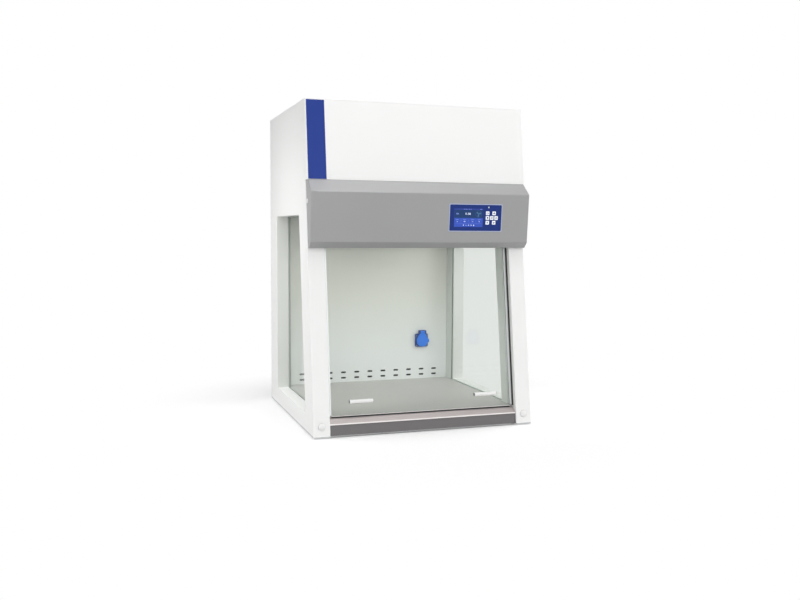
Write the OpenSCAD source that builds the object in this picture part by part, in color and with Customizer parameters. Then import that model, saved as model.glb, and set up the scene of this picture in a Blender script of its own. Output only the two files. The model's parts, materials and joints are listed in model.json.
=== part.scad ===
// Bench-top biological safety cabinet with a leaning glass sash, window side walls and a folded control visor.
// Millimetres, +Z up, the sash faces -Y. The origin is under the middle of the whole box, at the feet.

/* [Cabinet] */
// Overall width across the side walls
body_w = 700; // [600:10:900]
// Depth at the bottom, rear panel to the foot of the front posts
body_d = 670; // [640:5:760]
// Height of the cabinet above its feet
body_h = 990; // [960:5:1100]
// Lean of the front from upright, in degrees
front_slant = 7.9; // [6:0.1:9]
// Thickness of each side wall
wall_w = 50; // [44:1:70]
// Thickness of the outer steel sheet
sheet_t = 2; // [1.5:0.25:3]
// Thickness of the inner side liner
liner_t = 2; // [1.5:0.25:3]
// Distance that the upper front cover stands ahead of the posts
cover_step = 28; // [20:1:36]
// Clearance between pieces that are fixed side by side
fit_gap = 0.3; // [0.2:0.05:0.5]
// Clearance between a moving piece and what it passes
run_gap = 0.4; // [0.3:0.05:0.6]

/* [Base] */
// Diameter of a rubber foot
foot_d = 40; // [25:1:60]
// Height of a rubber foot
foot_h = 3; // [2:0.5:8]
// Distance of the feet's centres from the edges of the base
foot_inset = 45; // [35:1:80]
// Thickness of the base plate
base_t = 3; // [2:0.5:5]
// Set-back of the base plate between the posts
base_notch = 20; // [14:1:26]
// Height of the work surface above the base
floor_z = 54; // [48:1:70]
// Height of the sill's front lip above the base
sill_lip_z = 34; // [28:1:40]
// Height of the sill's lip
sill_lip_h = 3; // [2:0.5:6]
// Set-back of the sill's lip from the posts
sill_lip_back = 3; // [2:0.5:4]
// Set-back of the upper edge of the sill's slope
sill_top_back = 17; // [14:0.5:19]
// Depth of the sill's flat part behind the slope
sill_flat = 40; // [30:1:60]
// Diameter of the round cap at each post's foot
cap_d = 22; // [16:1:30]
// Height of the caps above the base
cap_z = 32; // [24:1:60]

/* [Chamber] */
// Distance of the chamber's rear wall from the back of the cabinet
back_gap = 68; // [55:1:90]
// Distance of the chamber's ceiling below the roof
ceiling_z = 335; // [315:1:335]
// Number of air slots in each row
slot_n = 11; // [7:2:11]
// Distance between neighbouring slots
slot_pitch = 50; // [40:1:50]
// Length of one slot
slot_l = 18; // [12:1:30]
// Height of one slot
slot_h = 6; // [5:0.5:8]
// Height of the lower slot row above the work surface
slot_low = 16; // [12:1:24]
// Distance between the two slot rows
slot_rows = 20; // [14:1:30]

/* [Side windows] */
// Distance of the window's rear edge from the back of the cabinet
win_rear = 117; // [100:1:140]
// Distance of the window's top edge below the chamber's ceiling
win_top = 5; // [5:1:95]
// Height of the window's lower edge above the work surface
win_low = 1; // [0:1:20]
// Distance of the window's front edge behind the posts, level
win_front = 104; // [85:1:130]
// Thickness of the side glass
win_glass_t = 5; // [4:0.5:8]
// Overlap of the side glass behind the liner
win_lap = 12; // [8:1:20]
// Thickness of the window seal
seal_t = 2; // [1.5:0.25:3]
// Width of the seal that shows in the window
seal_show = 1.5; // [1:0.25:3]

/* [Sash] */
// Thickness of the sash glass
sash_t = 5; // [4:0.5:8]
// Distance of the sash glass behind the front of the posts
sash_back = 23.6; // [23:0.2:26]
// Length of the sash glass that stands behind the visor
sash_l = 80; // [64:1:94]
// Width of the sash guides
guide_w = 10; // [8:0.5:14]
// Depth of the sash guides
guide_d = 20; // [19:0.5:22]
// Engagement of the glass in each guide
guide_grip = 7.8; // [6:0.2:12]
// Width of the dark gasket beside each guide
gasket_w = 4; // [3:0.5:6]
// Length of a sash handle
handle_l = 80; // [60:1:120]
// Diameter of a sash handle
handle_d = 12; // [10:0.5:16]
// Distance of a handle's axis from the glass
handle_out = 15; // [14:0.5:20]
// Distance of the handles' centres from the middle of the sash
handle_x = 200; // [120:1:220]
// Height of the handles above the sash's lower edge
handle_up = 38; // [30:1:60]

/* [Visor] */
// Distance of the visor's ends in from the cabinet's sides
visor_w = 2; // [-98:0.5:60]
// Distance of the visor's top edge below the roof
visor_top = 238; // [220:1:242]
// Height of the visor's upper bevel
visor_bevel = 35; // [20:1:45]
// Height of the visor's main face
visor_face = 149; // [140:1:160]
// Height of the visor's lower bevel
visor_under = 16.5; // [10:0.5:20]
// Reach of the visor's main face in front of the cover
visor_reach = 43; // [36:1:60]
// Lean of the visor's main face, its lower edge back, in degrees
visor_lean = 4.6; // [2:0.2:7]
// Depth of the visor's lower bevel
visor_tuck = 17; // [10:1:20]
// Diameter of the round plug on each end of the visor
plug_d = 14; // [10:0.5:18]

/* [Control panel] */
// Width of the control panel
panel_w = 172; // [160:1:200]
// Height of the control panel
panel_h = 80; // [78:1:100]
// Distance of the panel's middle from the right end of the visor
panel_x = 179; // [148:1:548]
// Height of the panel's middle above the lower edge of the main face
panel_up = 76.5; // [60:0.5:85]
// Width of the display
display_w = 95; // [80:1:100]
// Height of the display
display_h = 56; // [50:1:60]
// Width of a key
key_w = 11.5; // [8:0.5:12]
// Distance between neighbouring keys
key_pitch = 14.5; // [14:0.5:16]
// Travel of a key
key_travel = 0.8; // [0.4:0.1:1.2]

/* [Label] */
// Width of the coloured strip on the cover
strip_w = 55; // [30:1:80]
// Distance of the strip from the cover's edge
strip_edge = 3; // [2:0.5:10]

/* [Socket] */
// Distance of the socket from the right side of the chamber
socket_x = 100; // [70:1:530]
// Height of the socket above the work surface
socket_up = 140; // [110:1:200]
// Width of the socket's base plate
socket_w = 52; // [50:1:60]
// Height of the socket's base plate
socket_h = 48; // [47:1:60]
// Diameter of the socket's flap lid
lid_d = 49; // [46:1:52]

/* [Air system] */
// Diameter of the blower wheel
wheel_d = 140; // [110:2:140]
// Distance of the blower from the middle of the cabinet
blower_x = -140; // [-160:1:-120]
// Height of the supply filter
filter_h = 70; // [50:1:80]
// Width of the filters' frame wood
filter_frame = 15; // [10:1:22]

/* [Hidden] */

$fn = 48;

// Plan sizes
side_x = body_w / 2;
inner_x = side_x - wall_w;
inlet_flange = 2;
shift_y = (body_d - inlet_flange) / 2;
roof_z = body_h - sheet_t;
slant_cos = cos(front_slant);
back_y = -back_gap;
duct_y = back_y + sheet_t;
chamber_top = body_h - ceiling_z;
win_high = chamber_top - win_top;
visor_high = body_h - visor_top;
visor_x = side_x - visor_w;
visor_low = visor_high - visor_bevel - visor_face - visor_under;
step_z = visor_high + fit_gap;
// Corner round of folded sheet and small plates
key_round = 1.5;

// Level distance of the post plane at a height
function front_y(z) = -body_d + z * tan(front_slant);
// The same plane moved back by a distance at right angles to it
function behind(z, back) = front_y(z) + back / slant_cos;
// The front of the upper cover
function cover_y(z) = front_y(z) - cover_step;
// The distance up the slope at which a point set back from the posts has a height
function up_for(z, back) = (z + back * sin(front_slant)) / slant_cos;

// A flat strip of sheet of thickness t along a folded path
function unit(v) = v / norm(v);
function left_of(v) = [-v[1], v[0]];
function fold_point(p, i, t) =
  let(
    n = len(p),
    a = i > 0 ? unit(p[i] - p[i - 1]) : unit(p[1] - p[0]),
    b = i < n - 1 ? unit(p[i + 1] - p[i]) : unit(p[n - 1] - p[n - 2])
  )
  p[i] + (left_of(a) + left_of(b)) * t / (1 + a * b);
function folded(p, t) = concat(p, [for (i = [len(p) - 1:-1:0]) fold_point(p, i, t)]);

// Points of a rectangle with round corners
function round_box(w, h, r, n = 5) = [
  for (c = [[1, 1, 0], [-1, 1, 90], [-1, -1, 180], [1, -1, 270]])
    for (i = [0:n])
      [c[0] * (w / 2 - r) + r * cos(c[2] + 90 * i / n), c[1] * (h / 2 - r) + r * sin(c[2] + 90 * i / n)]
];

// Cabinet frame to part frame
module place() {
  translate([0, shift_y, foot_h]) children();
}

// Frame of the leaning front: x right, y into the cabinet, z up the slope from the foot of the posts
module on_front() {
  translate([0, -body_d, 0]) rotate([-front_slant, 0, 0]) children();
}

// Extrudes a side profile of (y, z) points between two x values
module along_x(x0, x1) {
  translate([x0, 0, 0]) rotate([90, 0, 90]) linear_extrude(x1 - x0) children();
}

// Extrudes a front profile of (x, z) points from a y value into the cabinet
module along_y(y0, y1) {
  translate([0, y1, 0]) rotate([90, 0, 0]) linear_extrude(y1 - y0) children();
}

// A block given by its corners
module block(a, b) {
  translate(a) cube(b - a);
}

// Base

module feet() {
  color("#2b2b2c") place()
    for (x = [-1, 1])
      for (y = [-foot_inset, -body_d + foot_inset])
        translate([x * (side_x - foot_inset), y, -foot_h]) cylinder(d = foot_d, h = foot_h);
}

module base_plate() {
  color("#c9cbca") place() difference() {
    block([-side_x, -body_d, 0], [side_x, 0, base_t]);
    block([-inner_x, -body_d - 1, -1], [inner_x, -body_d + base_notch, base_t + 1]);
  }
}

pan_setback = 34;
pan_lap = 8;
pan_front = front_y(0) + pan_setback;
pan_rear = duct_y + pan_lap;
pan_top = floor_z - sheet_t;
pan_x = inner_x - fit_gap;

module base_pan() {
  color("#b9bcbb") place() difference() {
    block([-pan_x, pan_front, base_t], [pan_x, pan_rear, pan_top]);
    block([-pan_x + sheet_t, pan_front + sheet_t, base_t + sheet_t], [pan_x - sheet_t, pan_rear + 1, pan_top + 1]);
  }
}

module work_surface() {
  color("#b7b8b3") place() block([-pan_x, pan_front, pan_top], [pan_x, pan_rear, floor_z]);
}

fascia_back = sill_lip_back + sheet_t + fit_gap;
fascia_top = sill_lip_z + sill_lip_h - sheet_t / 2;

module front_fascia() {
  path = [
    [pan_front - fit_gap, base_t + sheet_t],
    [behind(base_t, fascia_back) + sheet_t, base_t + sheet_t],
    [behind(fascia_top, fascia_back) + sheet_t / slant_cos, fascia_top]
  ];
  color("#6f6d6e") place() along_x(-pan_x, pan_x) polygon(folded(path, sheet_t));
}

sill_top = floor_z + sheet_t;
sill_fold_z = sill_lip_z + sill_lip_h;

module front_sill() {
  path = [
    [behind(sill_lip_z, sill_lip_back), sill_lip_z],
    [behind(sill_fold_z, sill_lip_back), sill_fold_z],
    [behind(sill_top, sill_top_back), sill_top],
    [behind(sill_top, sill_top_back) + sill_flat, sill_top]
  ];
  color("#c6bdb9") place() along_x(-pan_x, pan_x) polygon(folded(path, -sheet_t));
}

cap_hole_d = 10;

module post_caps() {
  color("#e9e9e7") place() on_front()
    for (s = [-1, 1])
      translate([s * (side_x - wall_w / 2), 0, cap_z]) rotate([90, 0, 0]) {
        translate([0, 0, -6]) cylinder(d = cap_hole_d - 2 * fit_gap, h = 6.5);
        cylinder(d = cap_d, h = 1.6);
        translate([0, 0, 1.6]) cylinder(d1 = cap_d, d2 = cap_d - 6, h = 1.2);
      }
}

// Side walls

// Outline of a side wall, drawn in by t
function side_outline(t) =
  let(
    low = base_t + t,
    high = roof_z - t,
    step = step_z + t,
    cover_in = (sheet_t + t) / slant_cos - cover_step
  )
  [
    [-sheet_t - t, low],
    [-sheet_t - t, high],
    [front_y(high) + cover_in, high],
    [front_y(step) + cover_in, step],
    [behind(step, t), step],
    [behind(low, t), low]
  ];

win_bottom = floor_z + win_low;

// Outline of the side window, let out by t
function win_outline(t) =
  let(low = win_bottom - t, high = win_high + t, front = win_front - t / slant_cos)
  [
    [-win_rear + t, low],
    [-win_rear + t, high],
    [front_y(high) + front, high],
    [front_y(low) + front, low]
  ];

glass_in = inner_x + liner_t + 0.2;
glass_out = glass_in + win_glass_t;
seal_in = glass_out + 0.2;
seal_out = seal_in + seal_t;
reveal_in = seal_out + 0.2;
lip_back = 15.5;

// A strip along the post, from its front face back by a depth
function post_strip(deep) = [
  [behind(base_t, 0), base_t],
  [behind(step_z, 0), step_z],
  [behind(step_z, deep), step_z],
  [behind(base_t, deep), base_t]
];

// The right-hand wall; the left one is its mirror image
module side_shell() {
  difference() {
    union() {
      difference() {
        along_x(inner_x + liner_t + fit_gap, side_x) polygon(side_outline(0));
        along_x(inner_x, side_x - sheet_t) polygon(side_outline(sheet_t));
      }
      along_x(reveal_in, side_x) polygon(win_outline(sheet_t));
      along_x(inner_x, inner_x + liner_t + 1) polygon(post_strip(sheet_t));
      along_x(inner_x, inner_x + liner_t) polygon(post_strip(lip_back));
    }
    along_x(inner_x, side_x + 1) polygon(win_outline(0));
    on_front() translate([side_x - wall_w / 2, -1, cap_z]) rotate([-90, 0, 0]) cylinder(d = cap_hole_d, h = 8);
    rear_screw_holes(screw_hole_d);
  }
}

module side_shell_right() {
  color("#ededec") place() side_shell();
}

module side_shell_left() {
  color("#ededec") place() mirror([1, 0, 0]) side_shell();
}

liner_back = 16;

module side_liner() {
  low = base_t;
  high = roof_z - fit_gap;
  difference() {
    along_x(inner_x, inner_x + liner_t) polygon([
      [-sheet_t - fit_gap, low], [-sheet_t - fit_gap, high], [behind(high, liner_back), high], [behind(low, liner_back), low]
    ]);
    along_x(inner_x - 1, inner_x + liner_t + 1) polygon(win_outline(0));
  }
}

module side_liner_right() {
  color("#cfd5d1") place() side_liner();
}

module side_liner_left() {
  color("#cfd5d1") place() mirror([1, 0, 0]) side_liner();
}

module side_glass() {
  along_x(glass_in, glass_out) polygon(win_outline(win_lap));
}

module side_glass_right() {
  color("#cfe3da", 0.35) place() side_glass();
}

module side_glass_left() {
  color("#cfe3da", 0.35) place() mirror([1, 0, 0]) side_glass();
}

module window_seal() {
  difference() {
    along_x(seal_in, seal_out) polygon(win_outline(win_lap));
    along_x(seal_in - 1, seal_out + 1) polygon(win_outline(-seal_show));
  }
}

module window_seal_right() {
  color("#3d423e") place() window_seal();
}

module window_seal_left() {
  color("#3d423e") place() mirror([1, 0, 0]) window_seal();
}

// Rear and roof

screw_d = 4;
screw_hole_d = 4.4;
screw_edge = 40;
screw_n = 4;
screw_rows = [for (i = [0:screw_n - 1]) screw_edge + i * (body_h - 2 * screw_edge) / (screw_n - 1)];
inlet_x = -230;
inlet_z = 120;
inlet_w = 28;
inlet_h = 22;

module rear_screw_holes(d) {
  for (s = [-1, 1])
    for (z = screw_rows)
      translate([s * (side_x - wall_w / 2), 1, z]) rotate([90, 0, 0]) cylinder(d = d, h = 10);
}

module rear_panel() {
  color("#e4e5e4") place() difference() {
    block([-side_x, -sheet_t, base_t], [side_x, 0, roof_z]);
    rear_screw_holes(screw_hole_d);
    block(
      [inlet_x - inlet_w / 2 - fit_gap, -sheet_t - 1, inlet_z - inlet_h / 2 - fit_gap],
      [inlet_x + inlet_w / 2 + fit_gap, 1, inlet_z + inlet_h / 2 + fit_gap]
    );
  }
}

module rear_screws() {
  color("#c2c4c6") place()
    for (s = [-1, 1])
      for (z = screw_rows)
        translate([s * (side_x - wall_w / 2), 0, z]) rotate([90, 0, 0]) difference() {
          union() {
            translate([0, 0, -1.6]) cylinder(d = 8, h = 1.6);
            translate([0, 0, -0.1]) cylinder(d = screw_d, h = 8);
          }
          for (a = [0, 90]) rotate([0, 0, a]) translate([-2.2, -0.4, -2]) cube([4.4, 0.8, 1.2]);
        }
}

// Mains inlet with three flat pins in an open cavity
module power_inlet() {
  color("#2c2d2f") place() translate([inlet_x, 0, inlet_z]) {
    difference() {
      union() {
        block([-inlet_w / 2, -24, -inlet_h / 2], [inlet_w / 2, 0.5, inlet_h / 2]);
        block([-inlet_w / 2 - 9, 0, -inlet_h / 2 - 3], [inlet_w / 2 + 9, inlet_flange, inlet_h / 2 + 3]);
      }
      block([-inlet_w / 2 + 2, -18, -inlet_h / 2 + 2.5], [inlet_w / 2 - 2, inlet_flange + 1, inlet_h / 2 - 2.5]);
    }
    for (p = [[-7, -2], [0, 2.5], [7, -2]]) block([p[0] - 1, -18.5, p[1] - 2], [p[0] + 1, -3, p[1] + 2]);
  }
}

// Exhaust filter and grille, right of the middle under the roof
ex_x = 150;
ex_y = -275;
ex_w = 250;
ex_d = 290;
ex_h = 70;
grille_w = ex_w - filter_frame;
grille_d = ex_d - filter_frame;
grille_gap = 14;

module top_panel() {
  color("#f0f0ef") place() difference() {
    block([-side_x, cover_y(body_h), roof_z], [side_x, 0, body_h]);
    block(
      [ex_x - grille_w / 2 - fit_gap, ex_y - grille_d / 2 - fit_gap, roof_z - 1],
      [ex_x + grille_w / 2 + fit_gap, ex_y + grille_d / 2 + fit_gap, body_h + 1]
    );
  }
}

module exhaust_grille() {
  rows = floor((grille_d - 40) / grille_gap);
  color("#b4b7b8") place() difference() {
    block([ex_x - grille_w / 2, ex_y - grille_d / 2, roof_z], [ex_x + grille_w / 2, ex_y + grille_d / 2, body_h]);
    for (i = [0:rows - 1])
      for (s = [-1, 1])
        translate([ex_x + s * grille_w / 4, ex_y + (i - (rows - 1) / 2) * grille_gap, roof_z])
          cube([grille_w / 2 - 20, 6, 3 * sheet_t], center = true);
  }
}

module exhaust_filter_frame() {
  color("#c8a874") place() filter_box(ex_x, ex_y, ex_w, ex_d, roof_z - ex_h, ex_h);
}

module exhaust_filter_media() {
  color("#f2f1ea") place() filter_pleats(ex_x, ex_y, ex_w, ex_d, roof_z - ex_h, ex_h);
}

// A filter's frame is an open box of wood
module filter_box(x, y, w, d, z, h) {
  difference() {
    block([x - w / 2, y - d / 2, z], [x + w / 2, y + d / 2, z + h]);
    block(
      [x - w / 2 + filter_frame, y - d / 2 + filter_frame, z - 1],
      [x + w / 2 - filter_frame, y + d / 2 - filter_frame, z + h + 1]
    );
  }
}

// Pleated filter paper inside its frame
module filter_pleats(x, y, w, d, z, h) {
  span = w - 2 * filter_frame - 0.4;
  deep = d - 2 * filter_frame - 0.4;
  n = 2 * floor(span / 24);
  paper = 2.5;
  crest = h - 16;
  wave = [for (i = [0:n]) [-span / 2 + span * i / n, i % 2 == 0 ? 0 : crest]];
  translate([x, y + deep / 2, z + 5]) rotate([90, 0, 0]) linear_extrude(deep)
    polygon(concat(wave, [for (i = [n:-1:0]) wave[i] + [0, 3 * paper]]));
}

// Front of the upper housing

module front_cover() {
  low = step_z;
  high = roof_z;
  color("#f4f4f3") place() along_x(-side_x, side_x) polygon([
    [cover_y(low), low],
    [cover_y(high), high],
    [cover_y(high) + sheet_t / slant_cos, high],
    [cover_y(low) + sheet_t / slant_cos, low]
  ]);
}

strip_t = 0.8;
cover_out = cover_step * slant_cos;

module label_strip() {
  color("#2d50a5") place() on_front()
    block(
      [-side_x + strip_edge, -cover_out - strip_t, up_for(step_z, -cover_out) + 1],
      [-side_x + strip_edge + strip_w, -cover_out, up_for(roof_z, -cover_out) - 1]
    );
}

// Corners of the visor's side profile, from the top edge down and back to the posts
face_top_z = visor_high - visor_bevel;
face_low_z = face_top_z - visor_face;
face_top_y = cover_y(visor_high) - visor_reach;
face_low_y = face_top_y + visor_face * tan(visor_lean);
visor_path = [
  [cover_y(visor_high), visor_high],
  [face_top_y, face_top_z],
  [face_low_y, face_low_z],
  [face_low_y + visor_tuck, visor_low],
  [front_y(visor_low), visor_low]
];

// Frame of the visor's main face: x right, y into the visor, z up the face from its lower edge
module on_visor() {
  translate([0, face_low_y, face_low_z]) rotate([visor_lean, 0, 0]) children();
}

panel_body_w = panel_w - 8;
panel_body_h = panel_h - 8;
panel_flange = 1.2;
panel_deep = 4;

module visor() {
  color("#a2a2a2") place() difference() {
    union() {
      along_x(-visor_x, visor_x) polygon(folded(visor_path, sheet_t));
      for (x = [-visor_x, visor_x - sheet_t])
        along_x(x, x + sheet_t) polygon(concat(visor_path, [[front_y(visor_high), visor_high]]));
    }
    on_visor() translate([panel_mid, -1, panel_up]) rotate([-90, 0, 0]) linear_extrude(sheet_t + 2)
      polygon(round_box(panel_body_w + 2 * fit_gap, panel_body_h + 2 * fit_gap, 2));
    for (s = [-1, 1]) translate([s * visor_x, plug_y, plug_z]) rotate([0, 90, 0])
      cylinder(d = plug_hole_d, h = 8, center = true);
  }
}

plug_z = visor_high - 63;
plug_y = front_y(plug_z) - 12;
plug_hole_d = 6;

module visor_plugs() {
  color("#f0f0f0") place()
    for (s = [-1, 1]) translate([s * visor_x, plug_y, plug_z]) rotate([0, s * 90, 0]) {
      cylinder(d = plug_d, h = 1.2);
      translate([0, 0, -5]) cylinder(d = plug_hole_d - 2 * fit_gap, h = 5.5);
    }
}

module visor_back() {
  inside = visor_x - sheet_t - fit_gap;
  color("#9fa3a2") place() on_front()
    block(
      [-inside, -sheet_t, up_for(visor_low + sheet_t + fit_gap, 0)],
      [inside, 0, up_for(visor_high - fit_gap, -sheet_t)]
    );
}

// Control panel

panel_mid = visor_x - panel_x;
display_x = panel_mid - panel_w / 2 + 62;
key_x = panel_mid + panel_w / 2 - 32.5;
// Key places: column and row offsets from the middle key
key_places = [
  [-1, 1, "power"], [0.5, 1, "fan"],
  [-1, 0, "lamp"], [0, 0, "ultraviolet"], [1, 0, "socket"],
  [-1, -1, "up"], [0.5, -1, "down"]
];
light_x = key_x - key_pitch + 3;
light_up = panel_up + 2.25 * key_pitch;
light_d = 3;
key_flange = 1;
board_y = panel_deep + fit_gap + key_flange + key_travel + 3.5;

function key_at(name) = [for (k = key_places) if (k[2] == name) [key_x + k[0] * key_pitch, panel_up + k[1] * key_pitch]][0];

module control_panel() {
  color("#2f4c94") place() on_visor() difference() {
    union() {
      translate([panel_mid, 0, panel_up]) rotate([90, 0, 0]) linear_extrude(panel_flange)
        polygon(round_box(panel_w, panel_h, 3));
      translate([panel_mid, panel_deep, panel_up]) rotate([90, 0, 0]) linear_extrude(panel_deep)
        polygon(round_box(panel_body_w, panel_body_h, 2));
    }
    translate([display_x, 1, panel_up]) rotate([90, 0, 0]) linear_extrude(5)
      square([display_w + 2 * fit_gap, display_h + 2 * fit_gap], center = true);
    for (k = key_places) {
      p = key_at(k[2]);
      translate([p[0], panel_deep + 1, p[1]]) rotate([90, 0, 0]) linear_extrude(panel_deep + panel_flange + 2)
        polygon(round_box(key_w + 2 * run_gap, key_w + 2 * run_gap, key_round + run_gap));
    }
    translate([light_x, -3, light_up]) rotate([-90, 0, 0]) cylinder(d = light_d + 0.4, h = 10);
  }
}

module display() {
  color("#3d5fb0") place() on_visor()
    block(
      [display_x - display_w / 2, -panel_flange, panel_up - display_h / 2],
      [display_x + display_w / 2, 1, panel_up + display_h / 2]
    );
}

module status_light() {
  color("#b9d9b0") place() on_visor() translate([light_x, -panel_flange - 0.4, light_up]) rotate([-90, 0, 0])
    cylinder(d = light_d, h = panel_flange + panel_deep + 0.4);
}

// A key slides in the panel and its flange rests behind it
module key(name) {
  p = key_at(name);
  color("#e9ebee") place() on_visor() translate([p[0], 0, p[1]]) rotate([90, 0, 0]) {
    translate([0, 0, -panel_deep - fit_gap - 0.2]) linear_extrude(panel_deep + panel_flange + fit_gap + 1)
      polygon(round_box(key_w, key_w, key_round));
    translate([0, 0, -panel_deep - fit_gap - key_flange]) linear_extrude(key_flange)
      polygon(round_box(key_w + 2, key_w + 2, key_round));
  }
}

module key_power() { key("power"); }

module key_fan() { key("fan"); }

module key_lamp() { key("lamp"); }

module key_ultraviolet() { key("ultraviolet"); }

module key_socket() { key("socket"); }

module key_up() { key("up"); }

module key_down() { key("down"); }

module control_board() {
  color("#2f6b45") place() on_visor() {
    block(
      [panel_mid - panel_body_w / 2 + 3, board_y, panel_up - panel_body_h / 2 + 3],
      [panel_mid + panel_body_w / 2 - 3, board_y + 1.6, panel_up + panel_body_h / 2 - 3]
    );
    for (x = [-1, 1])
      for (z = [-1, 1])
        translate([panel_mid + x * (panel_body_w / 2 - 8), panel_deep, panel_up + z * (panel_body_h / 2 - 5.5)])
          rotate([-90, 0, 0]) cylinder(d = 5, h = board_y - panel_deep + 0.5);
    for (k = key_places) {
      p = key_at(k[2]);
      translate([p[0], panel_deep + fit_gap + key_flange + key_travel + fit_gap, p[1]]) rotate([-90, 0, 0])
        cylinder(d = 4, h = 3.5);
    }
  }
}

// Chamber

module back_wall() {
  color("#c6ccc7") place() difference() {
    block([-pan_x, back_y, floor_z], [pan_x, duct_y, chamber_top]);
    for (i = [0:slot_n - 1])
      for (z = [slot_low, slot_low + slot_rows])
        translate([(i - (slot_n - 1) / 2) * slot_pitch, back_y - 1, floor_z + z]) slot_cut();
    translate([inner_x - socket_x, back_y - 1, floor_z + socket_up]) rotate([-90, 0, 0])
      cylinder(d = socket_body_d + 2 * fit_gap, h = sheet_t + 2);
  }
}

module slot_cut() {
  straight = slot_l - slot_h;
  translate([-straight / 2, 0, -slot_h / 2]) cube([straight, sheet_t + 2, slot_h]);
  for (s = [-1, 1]) translate([s * straight / 2, 0, 0]) rotate([-90, 0, 0]) cylinder(d = slot_h, h = sheet_t + 2);
}

header_back = sash_back + sash_t + 14;
header_low = chamber_top - 55;

module header_panel() {
  path = [
    [behind(header_low, header_back), header_low],
    [behind(roof_z - fit_gap, header_back), roof_z - fit_gap]
  ];
  color("#c2c8c4") place() along_x(-pan_x, pan_x) polygon(folded(path, -sheet_t));
}

// Perforated ceiling
module diffuser() {
  front = behind(chamber_top, header_back + sheet_t) + fit_gap;
  deep = back_y - front;
  nx = 12;
  ny = 9;
  color("#d5d9d8") place() difference() {
    block([-pan_x, front, chamber_top], [pan_x, duct_y, chamber_top + sheet_t]);
    for (i = [0:nx - 1])
      for (j = [0:ny - 1])
        translate([(i - (nx - 1) / 2) * 2 * pan_x / (nx + 1), front + deep * (j + 0.5) / ny, chamber_top - 1])
          cylinder(d = 12, h = sheet_t + 2, $fn = 24);
  }
}

// Sash and its guides

guide_back = sash_back - 3.6;
guide_x = inner_x - guide_w;
glass_x = guide_x + guide_grip;
guide_low = up_for(sill_top, guide_back + guide_d) + fit_gap;
guide_high = up_for(roof_z, 0) - 3;

module sash_guides() {
  color("#dfe3e2") place() on_front()
    for (s = [0, 1]) mirror([s, 0, 0]) difference() {
      block([guide_x, guide_back, guide_low], [inner_x, guide_back + guide_d, guide_high]);
      block(
        [guide_x - 1, sash_back - run_gap, guide_low - 1],
        [glass_x + run_gap, sash_back + sash_t + run_gap, guide_high + 1]
      );
    }
}

module guide_gaskets() {
  color("#1d1f1e") place() on_front()
    for (s = [0, 1]) mirror([s, 0, 0])
      block(
        [inner_x - gasket_w, guide_back - 4, up_for(sill_top, guide_back) + fit_gap],
        [inner_x, guide_back, up_for(visor_low, guide_back)]
      );
}

seal_foot = 4;
sash_low = up_for(sill_top, sash_back + sash_t) + seal_foot;
sash_high = up_for(visor_low, sash_back) + sash_l;
edge_grip = 12;
edge_lip = 2;
rail_cap = 3;

module sash_glass() {
  color("#cfe6de", 0.3) place() on_front()
    block([-glass_x, sash_back, sash_low], [glass_x, sash_back + sash_t, sash_high]);
}

// Rubber channel along the lower edge; its foot is level and meets the sill
module sash_seal() {
  x = guide_x - run_gap;
  color("#232524") place() difference() {
    along_x(-x, x) polygon([
      [behind(sill_top + fit_gap, sash_back - edge_lip), sill_top + fit_gap],
      [behind(sill_top + edge_grip, sash_back - edge_lip), sill_top + edge_grip],
      [behind(sill_top + edge_grip, sash_back + sash_t + edge_lip), sill_top + edge_grip],
      [behind(sill_top + fit_gap, sash_back + sash_t + edge_lip), sill_top + fit_gap]
    ]);
    on_front() block([-x - 1, sash_back, sash_low], [x + 1, sash_back + sash_t, sash_low + 3 * edge_grip]);
  }
}

// Aluminium channel along the upper edge
module sash_rail() {
  x = guide_x - run_gap;
  color("#b5b9ba") place() on_front() difference() {
    block([-x, sash_back - edge_lip, sash_high - edge_grip], [x, sash_back + sash_t + edge_lip, sash_high + rail_cap]);
    block([-x - 1, sash_back, sash_high - 2 * edge_grip], [x + 1, sash_back + sash_t, sash_high]);
  }
}

// Round bar on two stems
module sash_handle(s) {
  color("#eceded") place() on_front() translate([s * handle_x, sash_back - handle_out, sash_low + handle_up]) {
    rotate([0, 90, 0]) cylinder(d = handle_d, h = handle_l, center = true);
    for (e = [-1, 1]) translate([e * (handle_l / 2 - 12), 0, 0]) rotate([-90, 0, 0]) cylinder(d = 8, h = handle_out);
  }
}

module sash_handle_left() { sash_handle(-1); }

module sash_handle_right() { sash_handle(1); }

// Socket on the rear wall

socket_body_d = 43;
socket_bore_d = 39;
socket_front = 9;
hinge_up = socket_h / 2 + 11;
hinge_out = socket_front + 2;
hinge_d = 3;
knuckle_d = 8;
tongue_w = 21;
ear_w = 5;
lid_t = 4;

module at_socket() {
  translate([inner_x - socket_x, back_y, floor_z + socket_up]) children();
}

module socket_base() {
  ear_x = tongue_w / 2 + run_gap;
  color("#3b5a96") place() at_socket() difference() {
    union() {
      rotate([90, 0, 0]) linear_extrude(socket_front) polygon(round_box(socket_w, socket_h, 5));
      translate([0, 13, 0]) rotate([90, 0, 0]) cylinder(d = socket_body_d, h = 14);
      block([-ear_x - ear_w, -socket_front, socket_h / 2 - 6], [ear_x + ear_w, -3, hinge_up - knuckle_d / 2 - 1]);
      for (s = [0, 1]) mirror([s, 0, 0])
        block([ear_x, -hinge_out - knuckle_d / 2, hinge_up - 7], [ear_x + ear_w, 0, hinge_up + 6]);
      block([-ear_x - ear_w, -3, socket_h / 2 - 6], [ear_x + ear_w, 0, hinge_up + 6]);
    }
    translate([0, 8, 0]) rotate([90, 0, 0]) cylinder(d = socket_bore_d, h = 30);
    translate([-40, -hinge_out, hinge_up]) rotate([0, 90, 0]) cylinder(d = hinge_d + 0.1, h = 80);
  }
}

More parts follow.
